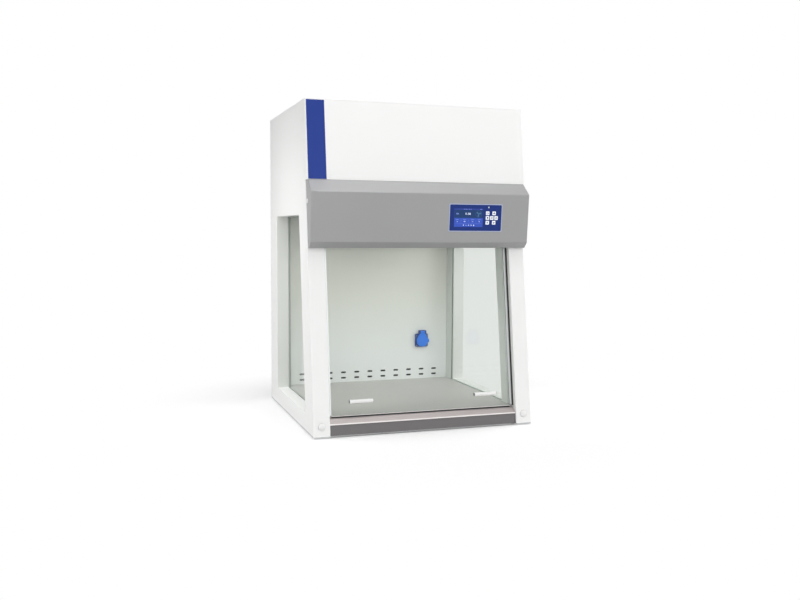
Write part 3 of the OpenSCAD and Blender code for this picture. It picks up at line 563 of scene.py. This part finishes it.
# the finish of each CAD node
nodeFinish = {
    "feet": "blackRubber",
    "base_plate": "sheetSteel",
    "base_pan": "sheetSteel",
    "work_surface": "floorSteel",
    "front_fascia": "darkPaint",
    "front_sill": "sillSteel",
    "post_caps": "whitePlastic",
    "side_shell_left": "whitePaint",
    "side_shell_right": "whitePaint",
    "side_liner_left": "sidePaint",
    "side_liner_right": "sidePaint",
    "side_glass_left": "sideGlass",
    "side_glass_right": "sideGlass",
    "window_seal_left": "blackRubber",
    "window_seal_right": "blackRubber",
    "rear_panel": "whitePaint",
    "rear_screws": "screwSteel",
    "power_inlet": "blackPlastic",
    "top_panel": "whitePaint",
    "exhaust_grille": "sheetSteel",
    "front_cover": "whitePaint",
    "label_strip": "blueFilm",
    "visor": "greyPaint",
    "visor_back": "sheetSteel",
    "visor_plugs": "whitePlastic",
    "control_panel": "panelFilm",
    "display": "screen",
    "status_light": "lightLens",
    "control_board": "board",
    "back_wall": "linerPaint",
    "diffuser": "sheetSteel",
    "header_panel": "linerPaint",
    "sash_guides": "aluminium",
    "guide_gaskets": "blackRubber",
    "sash_glass": "clearGlass",
    "sash_rail": "aluminium",
    "sash_seal": "blackRubber",
    "sash_handle_left": "whitePlastic",
    "sash_handle_right": "whitePlastic",
    "socket_base": "socketDark",
    "socket_lid": "socketLight",
    "socket_pin": "screwSteel",
    "work_lamp": "tubeGlass",
    "ultraviolet_lamp": "quartzGlass",
    "lamp_holders": "whitePlastic",
    "supply_filter_frame": "filterWood",
    "supply_filter_media": "filterPaper",
    "fan_tray": "sheetSteel",
    "blower_housing": "zincSteel",
    "blower_motor": "motorCast",
    "blower_wheel": "zincSteel",
    "exhaust_filter_frame": "filterWood",
    "exhaust_filter_media": "filterPaper",
}
for name, node in nodes.items():
    finish = materials[nodeFinish.get(name, "whitePlastic")]
    node.data.materials.clear()
    node.data.materials.append(finish)
print("nodes finished")


# pieces

bodyOf = {n: body for body, members in frame["record"]["behaviour"]["bodies"].items() for n in members}
smoothBelow = 40  # edges sharper than this, in degrees, stay sharp


def addPiece(name, bm, body, finish, replaced=()):
    bmesh.ops.dissolve_degenerate(bm, dist=tiny, edges=bm.edges[:])
    mesh = bpy.data.meshes.new(name)
    bm.to_mesh(mesh)
    bm.free()
    for one in [finish] if isinstance(finish, str) else finish:
        mesh.materials.append(materials[one])
    mesh.shade_smooth()
    mesh.set_sharp_from_angle(angle=math.radians(smoothBelow))
    piece = bpy.data.objects.new(name, mesh)
    bpy.context.scene.collection.objects.link(piece)
    even = piece.modifiers.new("evenNormals", "WEIGHTED_NORMAL")
    even.keep_sharp = True
    even.use_face_influence = True
    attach(piece, body)
    if replaced:
        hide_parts(*replaced)


def dressNode(node, bm, finish=None):
    addPiece(node + "_dressed", bm, bodyOf[node], finish or nodeFinish[node], (node,))


def cadMesh(node):
    # a CAD node's mesh with its loose triangles merged and its flat faces joined
    bm = bmesh.new()
    bm.from_mesh(nodes[node].data)
    bmesh.ops.remove_doubles(bm, verts=bm.verts, dist=weld)
    bmesh.ops.dissolve_limit(bm, angle_limit=math.radians(1), verts=bm.verts, edges=bm.edges)
    bmesh.ops.triangulate(bm, faces=[f for f in bm.faces if len(f.verts) > 4])
    return bm


def bevelEdges(bm, edges, width, segments, **more):
    bmesh.ops.bevel(
        bm, geom=edges, offset=width * mm, offset_type="OFFSET", affect="EDGES",
        segments=segments, profile=0.5, material=-1, **more,
    )


def roundEdges(bm, width, segments, chosen):
    sharp = [e for e in bm.edges if len(e.link_faces) == 2 and chosen(e)]
    bevelEdges(bm, sharp, width, segments, face_strength_mode="AFFECTED")


def sharper(angle):
    return lambda e: abs(e.calc_face_angle()) > math.radians(angle)


# the two leaning faces: a place on each, and how far it leans in degrees
frontFrame = Matrix.Translation((0, -0.336, 0.003)) @ turned(-7.9, "X")
visorFrame = Matrix.Translation((0, -0.29066, 0.571)) @ turned(4.6, "X")


def onFace(face, x, y, z):
    # a place on a leaning face; local z points out of it and local y up it
    return face @ shift(x, y, z) @ turned(90, "X")


def outOf(place):
    # the direction of a place's local z
    return (place.to_3x3() @ Vector((0, 0, 1))).normalized()


def looks(f, direction, least=0.9):
    # true where a face points within 25 degrees of a direction, or 60 with a least of 0.5
    return f.normal.dot(Vector(direction)) > least


def addRound(bm, place, radius, depth, segments=40, top=None, edge=0.0):
    # a round bar or disc about local z, from 0 to depth, with its outer rim rounded
    made = bmesh.ops.create_cone(
        bm, cap_ends=True, segments=segments, radius1=radius * mm,
        radius2=(radius if top is None else top) * mm, depth=depth * mm,
        matrix=place @ shift(0, 0, depth / 2),
    )["verts"]
    if edge:
        far = place @ Vector((0, 0, depth * mm))
        axis = outOf(place)
        atRim = {v for v in made if abs((v.co - far).dot(axis)) < weld}
        rim = [e for e in bm.edges if all(v in atRim for v in e.verts)]
        bevelEdges(bm, rim, edge, 3)


def addBar(bm, place, width, height, depth, turn=0.0):
    # a flat bar on a face, from 0 to depth along local z
    spot = place @ turned(turn, "Z") @ shift(0, 0, depth / 2)
    bmesh.ops.create_cube(bm, size=1, matrix=spot @ Matrix.Diagonal((width * mm, height * mm, depth * mm, 1)))


def thicken(bm, sheet, out, depth):
    # faces given a thickness in one direction
    lifted = bmesh.ops.extrude_face_region(bm, geom=sheet, use_keep_orig=True)["geom"]
    moved = [v for v in lifted if isinstance(v, bmesh.types.BMVert)]
    bmesh.ops.translate(bm, verts=moved, vec=out * depth * mm)
    bmesh.ops.recalc_face_normals(bm, faces=bm.faces)


# edge round in mm and its segments, for the pieces whose form is the node's own
edgeRounds = {
    "feet": (1.0, 3),
    "base_plate": (0.4, 1),
    "work_surface": (0.5, 2),
    "side_shell_left": (0.9, 3),
    "side_shell_right": (0.9, 3),
    "side_liner_left": (0.4, 1),
    "side_liner_right": (0.4, 1),
    "side_glass_left": (0.6, 2),
    "side_glass_right": (0.6, 2),
    "window_seal_left": (0.5, 2),
    "window_seal_right": (0.5, 2),
    "rear_panel": (0.5, 2),
    "rear_screws": (0.25, 2),
    "power_inlet": (0.4, 2),
    "top_panel": (0.6, 2),
    "exhaust_grille": (0.4, 1),
    "front_cover": (0.7, 3),
    "label_strip": (0.25, 1),
    "visor_back": (0.4, 1),
    "back_wall": (0.4, 2),
    "header_panel": (0.4, 1),
    "sash_guides": (0.5, 2),
    "guide_gaskets": (0.7, 2),
    "sash_glass": (0.7, 2),
    "sash_rail": (0.5, 2),
    "sash_seal": (0.5, 2),
    "control_board": (0.2, 1),
    "lamp_holders": (1.0, 2),
    "blower_housing": (0.5, 1),
    "blower_motor": (0.8, 2),
    "base_pan": (0.4, 1),
    "fan_tray": (0.4, 1),
    "exhaust_filter_frame": (0.6, 2),
    "supply_filter_frame": (0.6, 2),
}
# the sash's foot and the sill under it sit lower than in the solids; heights and places in mm
footSizes = {
    "drop": 5.5,
    "below": 66,
    "sealTop": 58.4,
    "sealLeast": 2,
    "sillTop": 50,
    "sillLip": 40.5,
    "edgeOut": 26.1,
    "edge": (579, 9.6, 1.6),  # width, depth and height of the pale edge profile
    "edgeRound": 0.3,
}
# a window's lower reveal lies below this height, and its rear jamb behind this place, in mm
windowSizes = {"reveal": 70, "jamb": 200}
speckArea = 1e-8  # faces smaller than this, in square metres, keep the first finish
front, up = (0, -1, 0), (0, 0, 1)


def lowerGlass(bm, sizes):
    for v in bm.verts:
        if v.co.z < sizes["below"] * mm:
            v.co.z -= sizes["drop"] * mm


def lowerSeal(bm, sizes):
    # the seal shows as a narrow foot
    for v in bm.verts:
        if v.co.z > sizes["below"] * mm:
            v.co.z = sizes["sealTop"] * mm
        else:
            v.co.z = min(v.co.z - sizes["drop"] * mm, (sizes["sealTop"] - sizes["sealLeast"]) * mm)


def lowerSill(bm, sizes):
    for v in bm.verts:
        if v.co.z > sizes["sillTop"] * mm:
            v.co.z -= sizes["drop"] * mm


def paintLipHighlight(node, bm):
    # painted highlight: the lip under the slope is painted pale, standing in for its bevel catching the light
    for f in bm.faces:
        f.material_index = int(looks(f, front, 0.5) and f.calc_center_median().z < footSizes["sillLip"] * mm)
    return ["sillLip"]


def tintShell(node, bm):
    # painted light and shade: the window's lower reveal is painted brighter for the light falling on it, and
    # on the left its rear reveal is painted a shade greyer for the post's shadow
    for f in bm.faces:
        where = f.calc_center_median()
        f.material_index = int(looks(f, up) and where.z < windowSizes["reveal"] * mm)
        if looks(f, front) and where.y > windowSizes["jamb"] * mm:
            f.material_index = 2
    return ["litRevealPaint", "shadedJambPaint" if node.endswith("left") else "whitePaint"]


def paintPlenumShade(node, bm):
    # painted shade: the plenum behind the slots is painted black for the shade inside it
    for f in bm.faces:
        back = not looks(f, front, 0.5) and f.calc_area() > speckArea
        f.material_index = int(back if node == "back_wall" else looks(f, front))
    return ["blackPlastic"]


def tintSeal(node, bm):
    # only the side seen from outside is black
    outer = 1 if node.endswith("right") else -1
    for f in bm.faces:
        f.material_index = int(not looks(f, (outer, 0, 0)))
    return ["glazingTape"]


def shadeCapRims(node, bm):
    # painted shadow: the faces of each cap's rim are painted grey, a fine shadow line round the cap
    inward = frontFrame.to_3x3().col[1]
    for f in bm.faces:
        f.material_index = int(abs(f.normal.dot(inward)) < 0.2)
    return ["greyPaint"]


reshaped = {"sash_glass": lowerGlass, "sash_seal": lowerSeal, "front_sill": lowerSill}
tinted = {
    "side_shell_left": tintShell,
    "side_shell_right": tintShell,
    "back_wall": paintPlenumShade,
    "rear_panel": paintPlenumShade,
    "window_seal_left": tintSeal,
    "window_seal_right": tintSeal,
    "front_sill": paintLipHighlight,
    "post_caps": shadeCapRims,
}


def dressRounded(node, *rounds):
    # the node's own form, with one kind of edge rounded after the other
    bm = cadMesh(node)
    if node in reshaped:
        reshaped[node](bm, footSizes)
    for width, segments, chosen in rounds:
        roundEdges(bm, width, segments, chosen)
    more = tinted[node](node, bm) if node in tinted else []
    dressNode(node, bm, [nodeFinish[node], *more])


for node, rounding in edgeRounds.items():
    dressRounded(node, (*rounding, sharper(30)))
print("edges rounded:", len(edgeRounds))

# pale edge profile between the seal and the glass
bm = bmesh.new()
addBar(bm, frontFrame @ shift(0, footSizes["edgeOut"], footSizes["sealTop"]), *footSizes["edge"])
roundEdges(bm, footSizes["edgeRound"], 2, sharper(60))
addPiece("sash_edge", bm, "sash", "sillLip")

# folded sheet: wide round at the outer folds, narrow at the rims
foldRounds = {
    "visor": {"fold": 2.2, "rim": 0.5},
    "front_sill": {"fold": 1.6, "rim": 0.4},
    "front_fascia": {"fold": 1.6, "rim": 0.4},
}
foldRun = 0.3  # a fold is longer than this, in metres
foldTurn = (10, 80)


def isFold(e):
    run = e.verts[1].co - e.verts[0].co
    turn = math.degrees(e.calc_face_angle_signed())
    return run.length > foldRun and abs(run.normalized().x) > 0.99 and foldTurn[0] < turn < foldTurn[1]


for node, sizes in foldRounds.items():
    dressRounded(node, (sizes["fold"], 4, isFold), (sizes["rim"], 2, sharper(60)))
print("folded sheets made")

# sash handles: a bar on two flared stems, with a grey plug in each end; the plugs are partly painted shade,
# darkening the bar's ends as shade would
handleSizes = {
    "centre": (200.5, 8.6, 100.5),
    "bar": 5.8,
    "length": 73,
    "round": 1.2,
    "stemAt": 28,
    "stem": 3.6,
    "foot": 5.6,
    "runs": (11, 2.4, 1.6),  # the stem's straight run, its flare and its foot
    "plug": 5.1,
    "plugOut": 1.1,
    "plugDeep": 1.5,
    "plugEdge": 0.4,
}


def makeHandle(name, side, sizes):
    bm = bmesh.new()
    x, y, z = sizes["centre"]
    straight, flare, foot = sizes["runs"]
    middle = frontFrame @ shift(side * x, y, z)
    for end in (-1, 1):
        addRound(bm, middle @ turned(90 * end, "Y"), sizes["bar"], sizes["length"] / 2, edge=sizes["round"])
        stem = middle @ shift(end * sizes["stemAt"], 0, 0) @ turned(-90, "X")
        addRound(bm, stem, sizes["stem"], straight + flare + foot, 28)
        addRound(bm, stem @ shift(0, 0, straight), sizes["stem"], flare, 28, top=sizes["foot"])
        addRound(bm, stem @ shift(0, 0, straight + flare), sizes["foot"], foot, 28)
    addPiece(name + "_dressed", bm, "sash", "handlePlastic", (name,))
    # grey plugs, partly painted shade: they darken the bar's ends as shade would
    bm = bmesh.new()
    for end in (-1, 1):
        start = sizes["length"] / 2 + sizes["plugOut"] - sizes["plugDeep"]
        cap = middle @ turned(90 * end, "Y") @ shift(0, 0, start)
        addRound(bm, cap, sizes["plug"], sizes["plugDeep"], 24, edge=sizes["plugEdge"])
    addPiece(name + "_plugs", bm, "sash", "greyPlastic")


makeHandle("sash_handle_left", -1, handleSizes)
makeHandle("sash_handle_right", 1, handleSizes)

# round caps at the posts, plugs on the visor's ends, and the small light's lens
capRounds = {"post_caps": 1.5, "visor_plugs": 0.5, "status_light": 0.3}
for node, width in capRounds.items():
    dressRounded(node, (width, 3, sharper(35)))
print("handles and caps made")

# wall socket: an egg-shaped lid on its pin, over a plate with four screws
socketSizes = {
    "centre": (200.8, 266, 197),
    "lid": 22.3,
    "lidArc": (150, 240, 56),  # start and sweep in degrees, and steps
    "lidUp": 2.4,
    "lidBack": 9.4,
    "lidDeep": 3.0,
    "lidEdge": 1.2,
    "neck": 8.4,
    "neckTop": 33.0,
    "dome": ((3.2, 0.5), (4.0, 0.4), (5.0, 0.2)),  # each step's width and rise
    "pin": (11.0, 35.0),  # how far out and up
    "pinSizes": (1.5, 25.6, 0.3),  # radius, length and edge
    "knuckle": (4.0, 17.4, 0.4),
    "grip": (6.0, 3.4, 1.2),  # radius, depth and edge
    "gripAt": (21.6, 2.5),
    "gripShape": (0.8, 1.2, 1, 1),
    "well": (-0.8, 8.0),  # its middle, and how deep its floor lies
    "hole": (9.5, 2.6, 0.4, 0.15),  # distance from the middle, radius, depth and edge
    "clip": (15.6, 6.0, 3.2, 4.5, 0.5),  # distance from the middle, width, height, depth and edge
    "screwX": (-22.6, 18.4),
    "screwZ": (-15.6, 21.4),
    "screw": (8.9, 1.9, 0.9, 0.35),  # how far out its head starts, its radius, height and edge
    # the solid's plate and ears, drawn in to a narrower outline
    "plateEdge": 0.9,
    "plateBack": 266.1,
    "earsAbove": 220.9,
    "plateX": ((174, 174), (226, 223)),
    "earX": ((174, 174), (184.1, 187.6), (189.1, 192.0), (210.9, 209.6), (215.9, 214.0), (226, 223)),
    "plateZ": ((173, 177), (221, 225.4), (225, 227.2), (230.5, 230.5), (233.5, 233.5), (238, 238)),
}


def between(value, steps):
    # the value carried from one scale to another by straight runs between the steps
    for (a, fromA), (b, fromB) in zip(steps, steps[1:]):
        if value <= b or b == steps[-1][0]:
            return fromA + (value - a) * (fromB - fromA) / (b - a)


def makeLid(face, sizes):
    out = outOf(face)
    start, sweep, steps = sizes["lidArc"]
    outline = []
    for i in range(steps + 1):
        a = math.radians(start + i * sweep / steps)
        outline.append((sizes["lid"] * math.cos(a), sizes["lid"] * math.sin(a) + sizes["lidUp"]))
    outline += [(sizes["neck"], sizes["neckTop"]), (-sizes["neck"], sizes["neckTop"])]
    bm = bmesh.new()
    sheet = bm.faces.new([bm.verts.new(face @ Vector((x * mm, z * mm, 0))) for x, z in outline])
    bm.normal_update()
    if sheet.normal.dot(out) > 0:
        bmesh.ops.reverse_faces(bm, faces=[sheet])
    thicken(bm, [sheet], out, sizes["lidDeep"])
    rim = [e for e in bm.edges if any(f.normal.dot(out) > 0.99 for f in e.link_faces)]
    bevelEdges(bm, rim, sizes["lidEdge"], 4)
    for thickness, rise in sizes["dome"]:
        front = max((f for f in bm.faces if f.normal.dot(out) > 0.9999), key=lambda f: f.calc_area())
        bmesh.ops.inset_region(bm, faces=[front], thickness=thickness * mm, depth=rise * mm)
    return bm


def makeSocket(sizes):
    wall = Matrix.Translation([v * mm for v in sizes["centre"]])
    face = onFace(wall, 0, -sizes["lidBack"], 0)
    hinge = wall @ shift(0, -sizes["pin"][0], sizes["pin"][1])
    bm = makeLid(face, sizes)
    r, long, edge = sizes["knuckle"]
    for end in (-1, 1):
        addRound(bm, hinge @ turned(90 * end, "Y"), r, long / 2, 28, edge=edge)
    r, deep, edge = sizes["grip"]
    grip = face @ shift(*sizes["gripAt"], 0) @ Matrix.Diagonal(sizes["gripShape"])
    addRound(bm, grip, r, deep, 28, edge=edge)
    dressNode("socket_lid", bm)
    bm = cadMesh("socket_base")
    for v in bm.verts:
        if v.co.y < sizes["plateBack"] * mm:
            x, z = v.co.x / mm, v.co.z / mm
            v.co.x = between(x, sizes["earX"] if z > sizes["earsAbove"] else sizes["plateX"]) * mm
            v.co.z = between(z, sizes["plateZ"]) * mm
    roundEdges(bm, sizes["plateEdge"], 3, sharper(40))
    dressNode("socket_base", bm)
    bm = bmesh.new()
    r, long, edge = sizes["pinSizes"]
    for end in (-1, 1):
        addRound(bm, hinge @ turned(90 * end, "Y"), r, long / 2, 20, edge=edge)
    dressNode("socket_pin", bm)
    bm = bmesh.new()
    out, r, high, edge = sizes["screw"]
    for x in sizes["screwX"]:
        for z in sizes["screwZ"]:
            addRound(bm, onFace(wall, x, -out, z), r, high, 20, edge=edge)
    addPiece("socket_screws", bm, "cabinet", "screwSteel")
    # contact holes and earth clips at the foot of the well; the holes are black discs, painted shade for the
    # dark inside them
    x, y = sizes["well"]
    apart, r, deep, edge = sizes["hole"]
    bm = bmesh.new()
    for side in (-1, 1):
        addRound(bm, onFace(wall, x + side * apart, y, 0), r, deep, 24, edge=edge)
    addPiece("socket_holes", bm, "cabinet", "blackPlastic")
    apart, wide, high, deep, edge = sizes["clip"]
    bm = bmesh.new()
    for side in (-1, 1):
        addBar(bm, onFace(wall, x, y, side * apart), wide, high, deep)
    roundEdges(bm, edge, 2, sharper(60))
    addPiece("socket_clips", bm, "cabinet", "screwSteel")


makeSocket(socketSizes)
print("socket made")

# keys: rounded caps with a small printed sign on each
signSizes = {
    "keyEdge": 0.7,
    "front": -2.0,
    "thick": 0.05,
    "places": {
        "key_power": (208.0, 91.0),
        "key_fan": (229.75, 91.0),
        "key_lamp": (208.0, 76.5),
        "key_ultraviolet": (222.5, 76.5),
        "key_socket": (237.0, 76.5),
        "key_up": (208.0, 62.0),
        "key_down": (229.75, 62.0),
    },
    # radii, widths, heights and offsets of each sign's parts, and angles in degrees
    "power": {"ring": (3.0, 1.1), "open": (125, 415), "up": 2.0, "bar": (1.1, 3.0)},
    "fan": ((90, 210, 330), 1.8, 1.8, 0.66),
    "lamp": {"up": 0.7, "bulb": 2.4, "lines": (-2.5, -3.6), "line": (2.4, 0.7)},
    "sun": {"radius": 1.7, "step": 45, "out": 2.9, "ray": (1.3, 0.7)},
    "outlet": {"ring": (3.2, 0.9), "holes": (-1.1, 1.1), "hole": 0.7},
    "arrow": 3.4,
}


def addRing(bm, place, radius, width, depth, segments=28, first=0, last=360):
    # a flat ring, or part of one, swept about local z
    edge = []
    a = math.radians(first)
    for r, h in ((radius - width, 0), (radius, 0), (radius, depth), (radius - width, depth)):
        edge.append(bm.verts.new(place @ Vector((r * math.cos(a) * mm, r * math.sin(a) * mm, h * mm))))
    loop = [bm.edges.new((edge[i], edge[(i + 1) % 4])) for i in range(4)]
    full = last - first >= 360
    bmesh.ops.spin(
        bm, geom=edge + loop, cent=place.translation, axis=outOf(place), angle=math.radians(last - first),
        steps=segments, use_merge=full,
    )
    if not full:
        bmesh.ops.holes_fill(bm, edges=[e for e in bm.edges if e.is_boundary], sides=4)


def addBlades(bm, place, angles, out, radius, narrow, depth, segments):
    # flattened discs set round a centre
    for a in angles:
        blade = place @ turned(a, "Z") @ shift(out, 0, 0) @ Matrix.Diagonal((1, narrow, 1, 1))
        addRound(bm, blade, radius, depth, segments)


def drawSign(bm, name, spot, sizes):
    t = sizes["thick"]
    if name == "key_power":
        part = sizes["power"]
        addRing(bm, spot, *part["ring"], t, 24, *part["open"])
        addBar(bm, spot @ shift(0, part["up"], 0), *part["bar"], t)
    elif name == "key_fan":
        addBlades(bm, spot, *sizes["fan"], t, 18)
    elif name == "key_lamp":
        part = sizes["lamp"]
        addRound(bm, spot @ shift(0, part["up"], 0), part["bulb"], t, 24)
        for y in part["lines"]:
            addBar(bm, spot @ shift(0, y, 0), *part["line"], t)
    elif name == "key_ultraviolet":
        part = sizes["sun"]
        addRound(bm, spot, part["radius"], t, 20)
        for a in range(0, 360, part["step"]):
            addBar(bm, spot @ turned(a, "Z") @ shift(part["out"], 0, 0), *part["ray"], t)
    elif name == "key_socket":
        part = sizes["outlet"]
        addRing(bm, spot, *part["ring"], t)
        for x in part["holes"]:
            addRound(bm, spot @ shift(x, 0, 0), part["hole"], t, 14)
    else:
        tip = spot @ turned(90 if name == "key_up" else -90, "Z")
        addRound(bm, tip, sizes["arrow"], t, 3)


for name, (x, z) in signSizes["places"].items():
    bm = cadMesh(name)
    roundEdges(bm, signSizes["keyEdge"], 3, sharper(60))
    dressNode(name, bm, "keyPlastic")
    bm = bmesh.new()
    drawSign(bm, name, onFace(visorFrame, x, signSizes["front"], z), signSizes)
    bmesh.ops.recalc_face_normals(bm, faces=bm.faces)
    addPiece(name + "_sign", bm, name, "signInk")
print("keys and their signs made")

# the panel: film over a moulded plate, in a thin pale bezel, with a ring round its small light
bezelSizes = {
    "box": (83, 255, 36.5, 116.5),  # the panel's sides, foot and top
    "wide": 2.4,
    "under": 0.6,
    "back": 0.3,
    "deep": 1.0,
    "corner": 3.0,
    "innerCorner": 1.0,
    "cornerSteps": 5,
    "edge": 0.3,
}
panelEdge = 0.35
lightRing = {"place": (211, -1.1, 109.1), "ring": (2.5, 0.9, 0.6)}


def roundedLoop(bm, face, wide, high, corner, steps):
    # a closed loop of edges with round corners
    spots = []
    for i, (a, b) in enumerate(((1, 1), (-1, 1), (-1, -1), (1, -1))):
        for k in range(steps + 1):
            turn = math.radians(90 * (i + k / steps))
            x = a * (wide - corner) + corner * math.cos(turn)
            z = b * (high - corner) + corner * math.sin(turn)
            spots.append(bm.verts.new(face @ Vector((x * mm, z * mm, 0))))
    return [bm.edges.new((spots[i], spots[(i + 1) % len(spots)])) for i in range(len(spots))]


def makeBezel(sizes):
    x0, x1, z0, z1 = sizes["box"]
    face = onFace(visorFrame, (x0 + x1) / 2, sizes["back"], (z0 + z1) / 2)
    wide, high = (x1 - x0) / 2, (z1 - z0) / 2
    bm = bmesh.new()
    loops = []
    for spread, corner in ((sizes["wide"], sizes["corner"]), (-sizes["under"], sizes["innerCorner"])):
        loops += roundedLoop(bm, face, wide + spread, high + spread, corner, sizes["cornerSteps"])
    bmesh.ops.bridge_loops(bm, edges=loops)
    out = outOf(face)
    thicken(bm, bm.faces[:], out, sizes["deep"])
    roundEdges(bm, sizes["edge"], 2, lambda e: sharper(60)(e) and any(looks(f, out) for f in e.link_faces))
    addPiece("panel_bezel", bm, "cabinet", "panelRim")


makeBezel(bezelSizes)
dressRounded("control_panel", (panelEdge, 2, sharper(60)))
bm = bmesh.new()
addRing(bm, onFace(visorFrame, *lightRing["place"]), *lightRing["ring"])
bmesh.ops.recalc_face_normals(bm, faces=bm.faces)
addPiece("status_light_ring", bm, "cabinet", "screwSteel")

# the display's picture: bands, a large value, small values and plain signs, on the panel's own scale
picture = {
    "edge": 0.15,
    "front": -1.2,
    "thick": 0.04,
    "middle": 145.1,
    "wide": 94.4,
    "band": (88.3, 25),  # height of its middle, and its own height
    "head": (102.6, 3.2),
    "value": ("0.38", 142.5, 8.6, 1.25),  # figures, place, size and stretch
    "valueUp": 88.4,
    "columns": {107.5: "12", 131.9: "460", 158.5: "15", 181.3: "21"},
    "columnUp": 64.9,
    "columnSize": 4.0,
    "captions": (3.0, 4.2, 2.2),
    "captionUp": 70.8,
    "captionStep": 3.8,
    "captionHigh": 1.1,
    "columnLines": (119.6, 145.2, 170.2),
    "columnLine": (67.5, 0.25, 11),
    "footLine": (59.0, 86, 0.25),
    "headWords": (3.2, 5.0, 2.4, 4.4, 3.0),
    "headFrom": 130,
    "headStep": 5.6,
    "headHigh": 1.2,
    "clock": (186, 6.5),
    "waves": {105.5: 5.2, 108.3: 6.4, 111.1: 4.2},
    "wave": (88.6, 1.3, 18),  # height on the panel, width and lean
    "signs": (128.7, 8.5, 53.7),  # the first sign's place, the step and the height on the panel
    "signBar": (1.6, 3.6),
    "signRounds": ((1, 1.0, 16), (2, 1.9, 3), (4, 1.8, 6)),  # which sign, radius and sides
    "signRing": (3, 1.7, 0.6),
    "fanAt": 178,
    "fanBlades": ((20, 140, 260), 4.6, 4.2, 0.55),  # angles, how far out, radius and narrowing
    "fanRing": (10.2, 0.5),
}
inkThick = 0.02


def addText(words, size, place, target):
    # figures made a thin mesh before they are put in place
    curve = bpy.data.curves.new("words", "FONT")
    curve.body = words
    curve.size = size * mm
    curve.align_x, curve.align_y = "CENTER", "CENTER"
    curve.resolution_u = 3
    curve.extrude = inkThick * mm
    holder = bpy.data.objects.new("words", curve)
    bpy.context.scene.collection.objects.link(holder)
    bpy.context.view_layer.update()
    mesh = bpy.data.meshes.new_from_object(holder.evaluated_get(bpy.context.evaluated_depsgraph_get()))
    mesh.transform(place)
    target.from_mesh(mesh)
    bmesh.ops.remove_doubles(target, verts=target.verts, dist=tiny)
    bpy.data.objects.remove(holder)
    bpy.data.meshes.remove(mesh)
    bpy.data.curves.remove(curve)


def onScreen(x, z, lift=0.0):
    return onFace(visorFrame, x, picture["front"] - lift, z)


def makeBand(name, finish, sizes, up, high):
    bm = bmesh.new()
    addBar(bm, onScreen(sizes["middle"], up), sizes["wide"], high, sizes["thick"])
    addPiece(name, bm, "cabinet", finish)


def makeValues(sizes):
    t = sizes["thick"]
    bm = bmesh.new()
    figures, x, size, stretch = sizes["value"]
    spot = onScreen(x, sizes["valueUp"], t + inkThick)
    addText(figures, size, spot @ Matrix.Diagonal((stretch, 1, 1, 1)), bm)
    for x, figures in sizes["columns"].items():
        addText(figures, sizes["columnSize"], onScreen(x, sizes["columnUp"], inkThick), bm)
    first, step, up = sizes["signs"]
    addBar(bm, onScreen(first, up), *sizes["signBar"], t)
    for k, radius, sides in sizes["signRounds"]:
        addRound(bm, onScreen(first + k * step, up), radius, t, sides)
    k, radius, width = sizes["signRing"]
    addRing(bm, onScreen(first + k * step, up), radius, width, t, 20)
    addPiece("display_values", bm, "cabinet", "screenWhite")


def makeLines(sizes):
    t = sizes["thick"]
    bm = bmesh.new()
    up, width, lean = sizes["wave"]
    for x, high in sizes["waves"].items():
        addBar(bm, onScreen(x, up, t), width, high, t, lean)
    for x in sizes["columns"]:
        for k, width in enumerate(sizes["captions"]):
            place = onScreen(x + (k - 1) * sizes["captionStep"], sizes["captionUp"])
            addBar(bm, place, width, sizes["captionHigh"], t)
    up = sizes["head"][0]
    for k, width in enumerate(sizes["headWords"]):
        place = onScreen(sizes["headFrom"] + k * sizes["headStep"], up, t)
        addBar(bm, place, width, sizes["headHigh"], t)
    x, width = sizes["clock"]
    addBar(bm, onScreen(x, up, t), width, sizes["headHigh"], t)
    up, width, high = sizes["columnLine"]
    for x in sizes["columnLines"]:
        addBar(bm, onScreen(x, up), width, high, t)
    up, width, high = sizes["footLine"]
    addBar(bm, onScreen(sizes["middle"], up), width, high, t)
    addPiece("display_lines", bm, "cabinet", "screenPale")


def makeFanSign(sizes):
    t = sizes["thick"]
    spot = onScreen(sizes["fanAt"], sizes["valueUp"], t)
    bm = bmesh.new()
    addBlades(bm, spot, *sizes["fanBlades"], t, 28)
    addRing(bm, spot, *sizes["fanRing"], t, 40)
    addPiece("display_fan", bm, "cabinet", "screenFan")


makeBand("display_band", "screenBand", picture, *picture["band"])
makeBand("display_head", "screenHead", picture, *picture["head"])
makeValues(picture)
makeLines(picture)
makeFanSign(picture)
dressRounded("display", (picture["edge"], 1, sharper(60)))
print("panel and display made")
